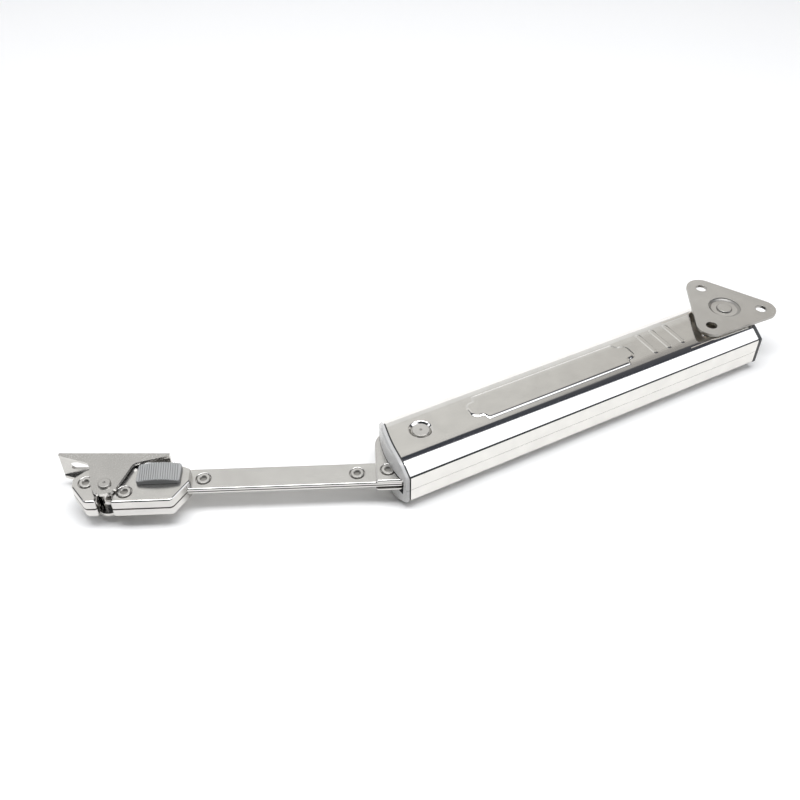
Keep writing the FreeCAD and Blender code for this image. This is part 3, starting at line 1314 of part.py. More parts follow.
def build():
    """Every sub-part by name, in its place."""
    return {
        "upper_cover": in_housing(upper_cover()),
        "lower_cover": in_housing(lower_cover()),
        "front_cap": in_housing(front_cap()),
        "rear_cap": in_housing(rear_cap()),
        "upper_frame": in_housing(frame_channel(1)),
        "lower_frame": in_housing(frame_channel(-1)),
        "frame_rivets": in_housing(frame_rivets()),
        "lever_pin": in_housing(lever_pin()),
        "pin_collars": in_housing(pin_collars()),
        "lever_washers": in_housing(lever_washers()),
        "spring_seat": in_housing(spring_seat()),
        "guide_rods": in_housing(guide_rods()),
        "main_springs": in_housing(main_springs()),
        "plate_rivet": in_housing(plate_rivet()),
        "plate_spacer": in_housing(plate_spacer()),
        "slider": in_housing(slider()),
        "roller_axle": in_housing(roller_axle()),
        "cam_roller": in_housing(cam_roller()),
        "mounting_plate": on_plate(mounting_plate()),
        "lever_cam": on_arm(lever_cam()),
        "cam_rivets": on_arm(cam_rivets()),
        "lever_upper_plate": on_arm(lever_plate(1)),
        "lever_lower_plate": on_arm(lever_plate(-1)),
        "lever_screw": on_arm(lever_screw()),
        "arm_upper_plate": on_arm(arm_plate(1)),
        "arm_lower_plate": on_arm(arm_plate(-1)),
        "arm_screws": on_arm(arm_screws()),
        "head_upper_shell": on_arm(head_upper()),
        "head_lower_shell": on_arm(head_lower()),
        "head_screws": on_arm(head_screws()),
        "release_catch": on_arm(release_catch()),
        "catch_spring": on_arm(catch_spring()),
        "release_button": on_arm(release_button()),
        "flap_bracket": on_bracket(flap_bracket()),
        "bracket_pin": on_bracket(bracket_pin()),
        "bracket_bush": on_bracket(bracket_bush()),
    }


def main():
    os.makedirs("parts", exist_ok=True)
    for name, shape in build().items():
        shape.exportStep("parts/" + name + ".step")
        sizes = "valid %s, %d solid(s), %.1f mm3" % (shape.isValid(), len(shape.Solids), shape.Volume)
        print(name, sizes)
    print("lever pivot", [round(c, 4) for c in LEVER_SHIFT], "bracket pin",
          [round(c, 4) for c in BRACKET_SHIFT], "table", -PLATE_TOP,
          "slider per radian", -CAM_RATE)


main()
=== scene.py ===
"""Spring lid stay for a cabinet flap, dressed for a studio photograph.

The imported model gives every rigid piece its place.  The pieces that show are modelled again
here with soft pressed edges, polished rims and fine ribs, and each finish is procedural.

Sizes are in millimetres in the local frame of the sub-assembly that they belong to, and a
Seat turns them into metres in the row's frame.
"""

import json
import logging
from dataclasses import dataclass
from enum import Enum
from math import acos, atan2, cos, hypot, pi, radians, sin, sqrt, tan
from typing import Any, Callable, Iterable, Sequence

import bmesh
import bpy
from mathutils import Matrix, Vector

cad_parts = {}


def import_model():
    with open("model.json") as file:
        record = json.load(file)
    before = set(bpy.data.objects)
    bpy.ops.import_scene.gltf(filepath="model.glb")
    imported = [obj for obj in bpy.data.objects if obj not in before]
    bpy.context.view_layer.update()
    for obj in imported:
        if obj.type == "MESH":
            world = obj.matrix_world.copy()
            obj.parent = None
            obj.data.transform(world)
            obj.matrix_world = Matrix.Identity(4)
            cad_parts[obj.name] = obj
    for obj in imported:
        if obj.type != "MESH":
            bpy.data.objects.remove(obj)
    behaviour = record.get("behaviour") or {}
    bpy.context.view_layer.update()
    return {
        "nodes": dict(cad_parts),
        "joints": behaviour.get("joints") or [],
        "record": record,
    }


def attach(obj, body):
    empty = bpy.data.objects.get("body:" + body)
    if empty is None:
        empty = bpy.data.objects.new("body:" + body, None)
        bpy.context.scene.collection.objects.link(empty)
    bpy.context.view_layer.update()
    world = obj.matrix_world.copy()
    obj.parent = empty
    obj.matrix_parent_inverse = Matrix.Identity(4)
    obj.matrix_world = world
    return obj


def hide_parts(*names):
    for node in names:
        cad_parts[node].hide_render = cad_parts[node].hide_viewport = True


LOG = logging.getLogger("lid_stay")

Color = tuple[float, float, float]
Stops = Sequence[tuple[float, Color]]
Spot = tuple[float, float, float]
Level = tuple[float, float]
EdgeRule = Callable[[bmesh.types.BMEdge], bool]

MM = 0.001
FLOOR_Z = -26.25
MID_Z = -14.25
HOUSING_ANGLE = 28.3
ARM_ANGLE = 2.8
BRACKET_ANGLE = 0.0
PLATE_ANGLE = -34.2
PLATE_PIVOT = (195.25, 4.4)

NOISE_LOW = 0.3
NOISE_HIGH = 0.7
PATCH_OCTAVES = 2.0

ALONG = Matrix(((0, 0, 1, 0), (1, 0, 0, 0), (0, 1, 0, 0), (0, 0, 0, 1)))
PAST = 1.0
PLANE_TOLERANCE = 1e-3
CLEAR_LIFT = 20.0 * PLANE_TOLERANCE
FULL_ROUND = 0.98
GROOVE_SHARE = 0.8
ROUND_STEPS = 12
SMALL_RADIUS = 0.05
EDGE_STEPS = 3
ROLL_STEPS = 4
LATHE_STEPS = 48
SMALL_LATHE_STEPS = 40
SHARP_ANGLE = 32.0
PLASTIC_SHARP_ANGLE = 40.0
RIM_ANGLE = 15.0
FACE_UP = 0.985
# index of the third finish, which on most pieces paints shade into grooves, seams, recesses and
# hidden faces
HOLLOW_LOOK = 2
SCREWED = 0.0


class Finish(Enum):
    """The finishes of the lid stay, by the name that the material gets."""

    SATIN = "satin_nickel"
    POLISHED = "polished_nickel"
    STAMPED = "stamped_nickel"
    EAR = "clip_nickel"
    # polished edges and sides, coloured darker than the polished nickel as painted shade
    EDGE_SHADE = "polished_edge_painted_shade_nickel"
    INNER = "inner_steel"
    # painted shade and painted reflection: a browner, darker nickel on the recess faces stands in
    # for the shade under the plate and its brown reflection
    RECESS_SHADE = "recess_painted_shade_nickel"
    SPRING = "spring_steel"
    CAP = "cap_plastic"
    BUTTON = "button_plastic"
    # painted shade: a darker copy of the button plastic for the button's sides and post
    SHADE = "button_side_painted_shade"
    # the dark plastic part's own colour, and also painted shade on the cap's back faces and plug,
    # which makes the gap behind the rim read dark
    DARK_PLASTIC_AND_GAP_SHADE = "dark_plastic_and_painted_gap_shade"
    BUSH = "bush_steel"
    # painted shade: near-black steel on the seams between the sheets and in the groove between the
    # head's shells
    GROOVE_SHADE = "groove_painted_shade_steel"


class Graph:
    """A node tree, and short ways to add nodes to it."""

    def __init__(self, tree: bpy.types.NodeTree) -> None:
        """Takes the tree to add to."""
        self.tree = tree

    def feed(self, node: bpy.types.Node, inputs: dict[str | int, Any]) -> bpy.types.Node:
        """Fills inputs of a node.

        Args:
            node: The node.
            inputs: For each input its value, or the socket that it is linked to.

        Returns:
            The node.
        """
        for name, value in inputs.items():
            if isinstance(value, bpy.types.NodeSocket):
                self.tree.links.new(value, node.inputs[name])
            else:
                node.inputs[name].default_value = value
        return node

    def add(self, kind: str, inputs: dict[str | int, Any], **settings: str) -> bpy.types.Node:
        """Adds a node.

        Args:
            kind: Its type, without the ShaderNode in front.
            inputs: For each input its value, or the socket that it is linked to.
            **settings: Its other settings.

        Returns:
            The node.
        """
        node = self.tree.nodes.new("ShaderNode" + kind)
        for name, value in settings.items():
            setattr(node, name, value)
        return self.feed(node, inputs)

    def object_place(self) -> bpy.types.NodeSocket:
        """Object coordinates in millimetres."""
        place = self.add("TexCoord", {}).outputs["Object"]
        return self.add("Mapping", {"Vector": place, "Scale": (1.0 / MM,) * 3}).outputs["Vector"]

    def noise(self, place: bpy.types.NodeSocket, size: float,
              octaves: float) -> bpy.types.NodeSocket:
        """Noise, about 0 to 1, whose spots are about this many millimetres across."""
        return self.add("TexNoise", {"Vector": place, "Scale": 1.0 / size,
                                     "Detail": octaves}).outputs["Fac"]

    def ramp(self, value: bpy.types.NodeSocket, stops: Stops) -> bpy.types.NodeSocket:
        """A colour ramp over a value.

        Args:
            value: The value that picks the colour.
            stops: Places and colours, in order.

        Returns:
            The colour.
        """
        node = self.add("ValToRGB", {"Fac": value})
        elements = node.color_ramp.elements
        while len(elements) < len(stops):
            elements.new(0.5)
        for element, (place, color) in zip(elements, stops):
            element.position = place
            element.color = (*color, 1.0)
        return node.outputs["Color"]

    def blend(self, share: bpy.types.NodeSocket, first: Any, second: Any) -> bpy.types.NodeSocket:
        """The first colour where the share is 0, and the second where it is 1."""
        return self.add("Mix", {"Factor": share, "A": first, "B": second},
                        data_type="RGBA").outputs["Result"]

    def white_for_camera(self, other: Any) -> bpy.types.NodeSocket:
        """White where the camera looks, and another colour for light and reflections."""
        ray = self.add("LightPath", {}).outputs["Is Camera Ray"]
        return self.blend(ray, other, (1.0, 1.0, 1.0, 1.0))


@dataclass(frozen=True)
class MetalFinish:
    """A plated or plain metal: its colour, its gloss and the fine grain left by the finish.

    Attributes:
        color: Linear colour.
        roughness: Middle roughness.
        spread: How far the roughness wanders from the middle.
        grain: Bump height of the grain, in millimetres.
        grain_size: Size of the grain, in millimetres.
        octaves: Detail of the grain.
        patch_size: Size of slow darker patches, in millimetres.
        patch_shade: Share of the colour that is left in them.
        patch_ends: Noise at a patch's heart, and where the plain colour starts.
        metallic: Share of metal.
        gloss: Specular level.
    """

    color: Color
    roughness: float
    spread: float = 0.04
    grain: float = 0.004
    grain_size: float = 0.35
    octaves: float = 3.0
    patch_size: float = 9.0
    patch_shade: float = 0.94
    patch_ends: Level = (0.35, 0.65)
    metallic: float = 1.0
    gloss: float = 0.5

    def build(self, name: str) -> bpy.types.Material:
        """Makes the node material.

        Args:
            name: Name of the material.

        Returns:
            The new material.
        """
        material = bpy.data.materials.new(name)
        material.use_nodes = True
        graph = Graph(material.node_tree)
        place = graph.object_place()
        shade = tuple(c * self.patch_shade for c in self.color)
        heart, rim = self.patch_ends
        patches = graph.ramp(graph.noise(place, self.patch_size, PATCH_OCTAVES),
                             ((heart, shade), (rim, self.color)))
        fine = graph.noise(place, self.grain_size, self.octaves)
        wander = graph.add("MapRange", {
            "Value": fine, "From Min": NOISE_LOW, "From Max": NOISE_HIGH,
            "To Min": self.roughness - self.spread, "To Max": self.roughness + self.spread})
        bump = graph.add("Bump", {"Height": fine, "Strength": 1.0, "Distance": self.grain * MM})
        graph.feed(material.node_tree.nodes["Principled BSDF"], {
            "Base Color": patches, "Metallic": self.metallic, "Specular IOR Level": self.gloss,
            "Roughness": wander.outputs["Result"], "Normal": bump.outputs["Normal"]})
        return material


@dataclass(frozen=True)
class PlasticFinish(MetalFinish):
    """A moulded plastic with a fine spark-eroded texture."""

    spread: float = 0.05
    grain: float = 0.01
    grain_size: float = 0.25
    octaves: float = 4.0
    patch_size: float = 12.0
    patch_shade: float = 0.93
    patch_ends: Level = (0.3, 0.7)
    metallic: float = 0.0


FINISHES: dict[Finish, MetalFinish] = {
    Finish.SATIN: MetalFinish((0.77, 0.755, 0.72), 0.22, grain=0.0012),
    Finish.POLISHED: MetalFinish((0.80, 0.79, 0.765), 0.07, spread=0.02, grain=0.0004,
                                 grain_size=2.0),
    Finish.STAMPED: MetalFinish((0.745, 0.735, 0.71), 0.24, grain=0.0014),
    Finish.EAR: MetalFinish((0.62, 0.61, 0.59), 0.25, grain=0.001),
    # the polish is real; the darker colour is painted shade on the sides
    Finish.EDGE_SHADE: MetalFinish((0.67, 0.66, 0.645), 0.09, spread=0.02, grain=0.0004,
                             grain_size=2.0),
    Finish.INNER: MetalFinish((0.40, 0.39, 0.37), 0.35),
    # painted shade and reflection for the faces inside the rear recess
    Finish.RECESS_SHADE: MetalFinish((0.70, 0.65, 0.58), 0.42),
    Finish.SPRING: MetalFinish((0.30, 0.30, 0.31), 0.3, grain=0.003),
    Finish.CAP: PlasticFinish((0.53, 0.53, 0.53), 0.28, gloss=0.6),
    Finish.BUTTON: PlasticFinish((0.38, 0.385, 0.385), 0.4),
    # painted shade on the button's sides
    Finish.SHADE: PlasticFinish((0.17, 0.173, 0.175), 0.45),
    # own colour of the dark plastic part, and painted gap shade on the cap
    Finish.DARK_PLASTIC_AND_GAP_SHADE: PlasticFinish((0.05, 0.053, 0.056), 0.45),
    Finish.BUSH: MetalFinish((0.62, 0.61, 0.60), 0.14, grain=0.001),
    # painted shade for seams and grooves
    Finish.GROOVE_SHADE: MetalFinish((0.14, 0.13, 0.12), 0.3, grain=0.002),
}

SLOT_FINISH: dict[str, Finish] = {
    "satin_nickel": Finish.SATIN,
    "plated_steel": Finish.STAMPED,
    "bright_nickel": Finish.POLISHED,
    "frame_steel": Finish.INNER,
    "hardened_steel": Finish.INNER,
    "spring_steel": Finish.SPRING,
    "grey_plastic": Finish.CAP,
    "button_plastic": Finish.BUTTON,
    "dark_plastic": Finish.DARK_PLASTIC_AND_GAP_SHADE,
    "black_plastic": Finish.BUSH,
}


class Palette:
    """Makes each finish's material once and hands it out."""

    def __init__(self) -> None:
        """Starts with no material made."""
        self.made: dict[Finish, bpy.types.Material] = {}

    def get(self, finish: Finish) -> bpy.types.Material:
        """The material of a finish, made on first use.

        Args:
            finish: The finish.

        Returns:
            Its material.
        """
        if finish not in self.made:
            self.made[finish] = FINISHES[finish].build(finish.value)
        return self.made[finish]

    def dress_nodes(self, nodes: dict[str, bpy.types.Object], record: dict) -> None:
        """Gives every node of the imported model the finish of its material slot.

        Args:
            nodes: The nodes by name.
            record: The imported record.
        """
        slots = {part["node"]: part["material_slot"] for part in record["subparts"]}
        for name, node in nodes.items():
            node.data.materials.clear()
            node.data.materials.append(self.get(SLOT_FINISH[slots[name]]))


@dataclass
class Studio:
    """Camera, floor, lamp and the studio that the metal mirrors.

    Attributes:
        camera_place: Camera, in millimetres in the row's frame.
        camera_pitch: Degrees below the horizon.
        focal_pixels: Focal length in pixels of the 800-pixel photograph.
        photo_pixels: Width of the photograph in pixels.
        sensor: Width of the sensor, in millimetres.
        near_far: What the camera sees, from and to, in metres.
        floor_size: Side of the table top, in millimetres.
        floor_color: The table top as the metal mirrors it.
        floor_roughness: How rough the table top is.
        floor_gloss: Its specular level.
        lamp_place: The lamp, in millimetres in the row's frame.
        lamp_size: Its length and width, in millimetres.
        lamp_power: Its power, in watts.
        turn_in: Sideways reach of a mirrored ray at which the left walls give way to the right.
        left_walls: The studio on the left as bands over the angle from the back horizon, which
            is 0, over the top to the front horizon, which is 1.
        right_walls: The same on the right.
    """

    camera_place: Spot = (-167.57, -388.86, 289.65)
    camera_pitch: float = 42.37
    focal_pixels: float = 934.5
    photo_pixels: float = 800.0
    sensor: float = 36.0
    near_far: Level = (0.01, 50.0)
    floor_size: float = 9000.0
    floor_color: Color = (1.0, 0.99, 0.97)
    floor_roughness: float = 0.6
    floor_gloss: float = 0.2
    lamp_place: Spot = (-200.0, -150.0, 1100.0)
    lamp_size: Level = (1200.0, 400.0)
    lamp_power: float = 10.0
    turn_in: Level = (0.12, 0.38)
    left_walls: Stops = (
        (0.0, (0.90, 0.90, 0.89)), (0.22, (0.75, 0.745, 0.735)), (0.275, (0.77, 0.765, 0.75)),
        (0.305, (0.92, 0.91, 0.89)), (0.325, (0.92, 0.91, 0.89)), (0.35, (0.05, 0.055, 0.07)),
        (0.425, (0.05, 0.055, 0.07)), (0.44, (1.65, 1.68, 1.75)), (0.525, (1.6, 1.63, 1.7)),
        (0.56, (0.06, 0.065, 0.07)), (0.97, (0.05, 0.055, 0.06)), (1.0, (0.5, 0.5, 0.5)))
    right_walls: Stops = (
        (0.0, (0.08, 0.08, 0.08)), (0.09, (0.10, 0.10, 0.10)), (0.12, (0.72, 0.71, 0.69)),
        (0.205, (0.61, 0.59, 0.56)), (0.245, (0.38, 0.36, 0.335)), (0.30, (0.10, 0.10, 0.11)),
        (0.425, (0.05, 0.055, 0.07)), (0.44, (1.65, 1.68, 1.75)), (0.64, (1.6, 1.63, 1.7)),
        (0.67, (0.07, 0.075, 0.08)), (0.97, (0.05, 0.055, 0.06)), (1.0, (0.5, 0.5, 0.5)))

    def build(self) -> None:
        """Sets up everything that isn't the object."""
        self.camera()
        self.floor()
        self.world()
        self.lamp()
        bpy.context.scene.view_settings.view_transform = "Standard"

    def placed(self, name: str, data: Any, place: Spot) -> bpy.types.Object:
        """Adds an object of the stage.

        Args:
            name: Its name.
            data: Its camera, lamp or mesh.
            place: Where it goes, in millimetres in the row's frame.

        Returns:
            The object.
        """
        item = bpy.data.objects.new(name, data)
        item.location = [c * MM for c in place]
        bpy.context.scene.collection.objects.link(item)
        return item

    def camera(self) -> None:
        """Puts the camera where the photograph was taken from."""
        data = bpy.data.cameras.new("camera")
        data.sensor_width = self.sensor
        data.lens = self.focal_pixels / self.photo_pixels * self.sensor
        data.clip_start, data.clip_end = self.near_far
        camera = self.placed("camera", data, self.camera_place)
        camera.rotation_euler = (radians(90.0 - self.camera_pitch), 0.0, 0.0)
        bpy.context.scene.camera = camera

    def floor(self) -> None:
        """A white table top that keeps the object's shadow."""
        mesh = bpy.data.meshes.new("floor")
        shape = bmesh.new()
        bmesh.ops.create_grid(shape, x_segments=1, y_segments=1, size=self.floor_size * MM / 2.0)
        bmesh.ops.translate(shape, vec=(0.0, 0.0, FLOOR_Z * MM), verts=shape.verts)
        shape.to_mesh(mesh)
        shape.free()
        material = bpy.data.materials.new("floor")
        material.use_nodes = True
        graph = Graph(material.node_tree)
        graph.feed(material.node_tree.nodes["Principled BSDF"], {
            "Base Color": graph.white_for_camera((*self.floor_color, 1.0)),
            "Roughness": self.floor_roughness, "Specular IOR Level": self.floor_gloss})
        mesh.materials.append(material)
        self.placed("floor", mesh, (0.0, 0.0, 0.0))

    def world(self) -> None:
        """A white room for the camera, and banded studio walls for light and reflections."""
        world = bpy.data.worlds.new("studio")
        bpy.context.scene.world = world
        world.use_nodes = True
        graph = Graph(world.node_tree)
        place = graph.add("TexCoord", {}).outputs["Generated"]
        ray = graph.add("SeparateXYZ", {"Vector": place}).outputs
        angle = graph.add("Math", {0: ray["Z"], 1: ray["Y"]}, operation="ARCTAN2")
        turn = graph.add("Math", {0: angle.outputs["Value"], 1: pi}, operation="DIVIDE")
        start, end = self.turn_in
        side = graph.add("MapRange", {"Value": ray["X"], "From Min": start, "From Max": end})
        left, right = (graph.ramp(turn.outputs["Value"], walls)
                       for walls in (self.left_walls, self.right_walls))
        walls = graph.blend(side.outputs["Result"], left, right)
        graph.feed(world.node_tree.nodes["Background"],
                   {"Color": graph.white_for_camera(walls)})

    def lamp(self) -> None:
        """One broad soft lamp overhead."""
        data = bpy.data.lights.new("softbox", "AREA")
        data.shape = "RECTANGLE"
        data.size, data.size_y = (side * MM for side in self.lamp_size)
        data.energy = self.lamp_power
        self.placed("softbox", data, self.lamp_place)


@dataclass(frozen=True)
class Seat:
    """Where a sub-assembly's own frame sits in the row's frame.

    Attributes:
        x: Place of its origin, in millimetres.
        y: Place of its origin, in millimetres.
        angle: Turn about the upright axis, in degrees.
        z: Height of its origin, in millimetres.
    """

    x: float
    y: float
    angle: float
    z: float = MID_Z

    def matrix(self) -> Matrix:
        """The step from the local frame in millimetres to the row's frame in metres."""
        turn = Matrix.Rotation(radians(self.angle), 4, "Z")
        return Matrix.Scale(MM, 4) @ Matrix.Translation((self.x, self.y, self.z)) @ turn


class Solid:
    """A closed solid under way, in millimetres in its sub-assembly's frame."""

    def __init__(self) -> None:
        """Starts with nothing in it."""
        self.mesh = bmesh.new()

    @classmethod
    def plate(cls, spots: Sequence[Spot], low: float, high: float,
              steps: int = ROUND_STEPS) -> "Solid":
        """An outline with rounded corners, raised to a thickness.

        Args:
            spots: Corners as (x, y, radius), in order round the outline.
            low: Height of the under face.
            high: Height of the upper face.
            steps: Segments of each rounded corner.

        Returns:
            The plate.
        """
        solid = cls()
        solid.outline(spots, low, steps)
        return solid.raised(high - low)

    @classmethod
    def loft(cls, layers: Sequence[tuple[Sequence[Spot], float]]) -> "Solid":
        """A solid whose wall runs through outlines of as many corners.

        Args:
            layers: Outlines and their rising heights.

        Returns:
            The solid.
        """
        solid = cls()
        mesh = solid.mesh
        for spots, height in layers:
            solid.outline(spots, height, ROUND_STEPS)
        faces = sorted(mesh.faces, key=lambda face: face.calc_center_median().z)
        for lower, upper in zip(faces, faces[1:]):
            bmesh.ops.bridge_loops(mesh, edges=[*lower.edges, *upper.edges])
        bmesh.ops.delete(mesh, geom=faces[1:-1], context="FACES_ONLY")
        return solid.outward()

    @classmethod
    def hull(cls, rounds: Sequence[Spot], low: float, high: float, steps: int) -> "Solid":
        """The plate that a belt round several discs encloses.

        Args:
            rounds: Discs as (x, y, radius).
            low: Height of the under face.
            high: Height of the upper face.
            steps: Points of each disc.

        Returns:
            The plate.
        """
        solid = cls()
        mesh = solid.mesh
        for x, y, radius in rounds:
            bmesh.ops.create_circle(mesh, segments=steps, radius=radius,
                                    matrix=Matrix.Translation((x, y, low)))
        hull = bmesh.ops.convex_hull(mesh, input=mesh.verts)
        bmesh.ops.delete(mesh, geom=hull["geom_interior"] + hull["geom_unused"], context="VERTS")
        bmesh.ops.remove_doubles(mesh, verts=mesh.verts, dist=PLANE_TOLERANCE)
        if len(mesh.faces) > 1:
            bmesh.ops.dissolve_limit(mesh, angle_limit=radians(1.0), verts=[], edges=mesh.edges)
        return solid.raised(high - low)

    @classmethod
    def block(cls, x: Level, y: Level, z: Level) -> "Solid":
        """A box from its limits on each axis."""
        return cls.plate(oblong(x, y, 0.0, 0.0), *z)

    @classmethod
    def lathe(cls, profile: Sequence[Level], steps: int = LATHE_STEPS) -> "Solid":
        """A profile spun about the upright axis.

        Args:
            profile: Points as (radius, height), with a first and a last point on the axis or
                a closed ring of points off it.
            steps: Segments of the full turn.

        Returns:
            The turned solid.
        """
        solid = cls()
        mesh = solid.mesh
        chain = [mesh.verts.new((radius, 0.0, height)) for radius, height in profile]
        edges = [mesh.edges.new(pair) for pair in zip(chain, chain[1:])]
        if profile[0][0] > 0.0:
            edges.append(mesh.edges.new((chain[-1], chain[0])))
        bmesh.ops.spin(mesh, geom=chain + edges, cent=(0.0, 0.0, 0.0), axis=(0.0, 0.0, 1.0),
                       angle=2.0 * pi, steps=steps, use_merge=True, use_duplicate=False)
        bmesh.ops.remove_doubles(mesh, verts=mesh.verts, dist=PLANE_TOLERANCE)
        return solid.outward()

    @classmethod
    def post(cls, radius: float, low: float, high: float) -> "Solid":
        """A plain round post about the upright axis."""
        return cls.lathe([(0.0, low), (radius, low), (radius, high), (0.0, high)])

    def outline(self, spots: Sequence[Spot], height: float, steps: int) -> None:
        """Adds a flat face with rounded corners.

        Args:
            spots: Corners as (x, y, radius), in order round the outline.
            height: Height of the face.
            steps: Segments of each rounded corner.
        """
        ring = [self.mesh.verts.new((x, y, height)) for x, y, _ in spots]
        self.mesh.faces.new(ring)
        places = [Vector(v.co) for v in ring]
        for index, (vert, spot) in enumerate(zip(ring, spots)):
            if spot[2] > 0.0:
                before = (places[index - 1] - places[index]).normalized()
                after = (places[(index + 1) % len(places)] - places[index]).normalized()
                reach = spot[2] / tan(before.angle(after) / 2.0)
                bmesh.ops.bevel(self.mesh, geom=[vert], offset=reach, offset_type="OFFSET",
                                segments=steps, profile=0.5, affect="VERTICES", material=-1)

    def raised(self, thickness: float) -> "Solid":
        """Extrudes the flat outline.

        Args:
            thickness: How far up.

        Returns:
            This solid, closed.
        """
        grown = bmesh.ops.extrude_face_region(self.mesh, geom=self.mesh.faces[:])
        tops = [item for item in grown["geom"] if isinstance(item, bmesh.types.BMVert)]
        bmesh.ops.translate(self.mesh, vec=(0.0, 0.0, thickness), verts=tops)
        return self.outward()

    def outward(self) -> "Solid":
        """Turns every face outward."""
        bmesh.ops.recalc_face_normals(self.mesh, faces=self.mesh.faces)
        return self

    def moved(self, x: float, y: float) -> "Solid":
        """Slides the solid."""
        bmesh.ops.translate(self.mesh, vec=(x, y, 0.0), verts=self.mesh.verts)
        return self

    def changed(self, matrix: Matrix) -> "Solid":
        """Turns or mirrors the solid with a matrix."""
        bmesh.ops.transform(self.mesh, matrix=matrix, verts=self.mesh.verts)
        return self.outward()

    def flipped(self) -> "Solid":
        """The mirror image below the mid plane."""
        return self.changed(Matrix.Scale(-1.0, 4, (0.0, 0.0, 1.0)))

    def rounded(self, wanted: EdgeRule, radius: float, steps: int = EDGE_STEPS) -> "Solid":
        """Rounds edges.

        Args:
            wanted: The rule that picks them.
            radius: Radius of the rounding.
            steps: Its segments.

        Returns:
            This solid, changed.
        """
        picked = [edge for edge in self.mesh.edges if wanted(edge)]
        bmesh.ops.bevel(self.mesh, geom=picked, offset=radius, offset_type="OFFSET",
                        segments=steps, profile=0.5, affect="EDGES", clamp_overlap=True,
                        material=-1)
        return self

    def sliced(self, normal: Spot, offsets: Iterable[float], centre: Spot = (0.0, 0.0, 0.0),
               ) -> "Solid":
        """Adds the cut lines of several parallel planes.

        Args:
            normal: Which way the planes face.
            offsets: Their places along the normal's main axis, from the centre.
            centre: Where the offsets start.

        Returns:
            This solid, changed.
        """
        axis = max(range(3), key=lambda k: abs(normal[k]))
        for offset in offsets:
            place = [c + offset if k == axis else c for k, c in enumerate(centre)]
            geometry = self.mesh.verts[:] + self.mesh.edges[:] + self.mesh.faces[:]
            bmesh.ops.bisect_plane(self.mesh, geom=geometry, dist=PLANE_TOLERANCE,
                                   plane_co=place, plane_no=normal)
        return self

    def combined(self, others: Sequence["Solid"], operation: str) -> "Solid":
        """Joins, cuts or crosses this solid with others, one after another.

        Args:
            others: The other solids, which are used up.
            operation: UNION, DIFFERENCE or INTERSECT.

        Returns:
            This solid, changed.
        """
        for other in others:
            body, tool = self.as_object("body"), other.as_object("tool")
            modifier = body.modifiers.new(operation.lower(), "BOOLEAN")
            modifier.operation = operation
            modifier.solver = "EXACT"
            modifier.object = tool
            graph = bpy.context.evaluated_depsgraph_get()
            result = bpy.data.meshes.new_from_object(body.evaluated_get(graph))
            self.mesh.clear()
            self.mesh.from_mesh(result)
            bmesh.ops.remove_doubles(self.mesh, verts=self.mesh.verts, dist=PLANE_TOLERANCE)
            meshes = [body.data, tool.data, result]
            for item in (body, tool):
                bpy.data.objects.remove(item)
            for mesh in meshes:
                bpy.data.meshes.remove(mesh)
        return self

    def joined(self, *others: "Solid") -> "Solid":
        """This solid with others added."""
        return self.combined(others, "UNION")

    def cut(self, *others: "Solid") -> "Solid":
        """This solid with others taken away."""
        return self.combined(others, "DIFFERENCE")

    def beside(self, *others: "Solid") -> "Solid":
        """This solid with others laid beside it in one mesh.

        Args:
            others: The other solids, which are used up and must not touch it.

        Returns:
            This solid, changed.
        """
        for other in others:
            mesh = bpy.data.meshes.new("beside")
            other.mesh.to_mesh(mesh)
            self.mesh.from_mesh(mesh)
            other.mesh.free()
            bpy.data.meshes.remove(mesh)
        return self

    def hollowed(self, wanted: Callable[[Vector], bool]) -> "Solid":
        """Marks faces, so that they get a piece's third finish, which on most pieces is painted
        shade.

        Args:
            wanted: The rule that picks a face by its middle.

        Returns:
            This solid, marked.
        """
        for face in self.mesh.faces:
            if wanted(face.calc_center_median()):
                face.material_index = HOLLOW_LOOK
        return self

    def as_object(self, name: str) -> bpy.types.Object:
        """A linked object with a copy of the mesh as it is.

        Args:
            name: Name of the object.

        Returns:
            The object.
        """
        mesh = bpy.data.meshes.new(name)
        self.mesh.to_mesh(mesh)
        item = bpy.data.objects.new(name, mesh)
        bpy.context.scene.collection.objects.link(item)
        return item


def at_height(height: float) -> EdgeRule:
    """Picks the sharp edges that lie in the plane at a height.

    Args:
        height: Height of the plane.

    Returns:
        The rule.
    """
    def wanted(edge: bmesh.types.BMEdge) -> bool:
        """Whether an edge is one of them."""
        level = all(abs(vert.co.z - height) < PLANE_TOLERANCE for vert in edge.verts)
        return level and len(edge.link_faces) == 2 and edge.calc_face_angle() > radians(RIM_ANGLE)
    return wanted


def oblong(x: Level, y: Level, left: float, right: float) -> list[Spot]:
    """A rectangle from its limits on each axis, and the radii of its left and right corners."""
    return [(x[0], y[0], left), (x[1], y[0], right), (x[1], y[1], right), (x[0], y[1], left)]


def spread_out(reach: float, count: int) -> list[float]:
    """Even places between two ends as far from the middle, without the ends."""
    return [reach * (2.0 * k / count - 1.0) for k in range(1, count)]


def inset_spots(spots: Sequence[Spot], depth: float) -> list[Spot]:
    """An outline moved in by a depth, with the radius of each corner to match.

    Args:
        spots: Corners as (x, y, radius), in order round the outline.
        depth: How far to move in.

    Returns:
        The inner outline, with as many corners.
    """
    places = [Vector((x, y)) for x, y, _ in spots]
    nexts = places[1:] + places[:1]
    way = 1.0 if sum(a.cross(b) for a, b in zip(places, nexts)) > 0.0 else -1.0
    inner = []
    for index, (place, after) in enumerate(zip(places, nexts)):
        first, second = (place - places[index - 1]).normalized(), (after - place).normalized()
        into_first = Vector((-first.y, first.x)) * way
        into_second = Vector((-second.y, second.x)) * way
        shift = (into_first + into_second) * depth / (1.0 + into_first.dot(into_second))
        outer = first.cross(second) * way > 0.0
        radius = max(spots[index][2] - depth, SMALL_RADIUS) if outer else spots[index][2] + depth
        inner.append((place.x + shift.x, place.y + shift.y, radius))
    return inner


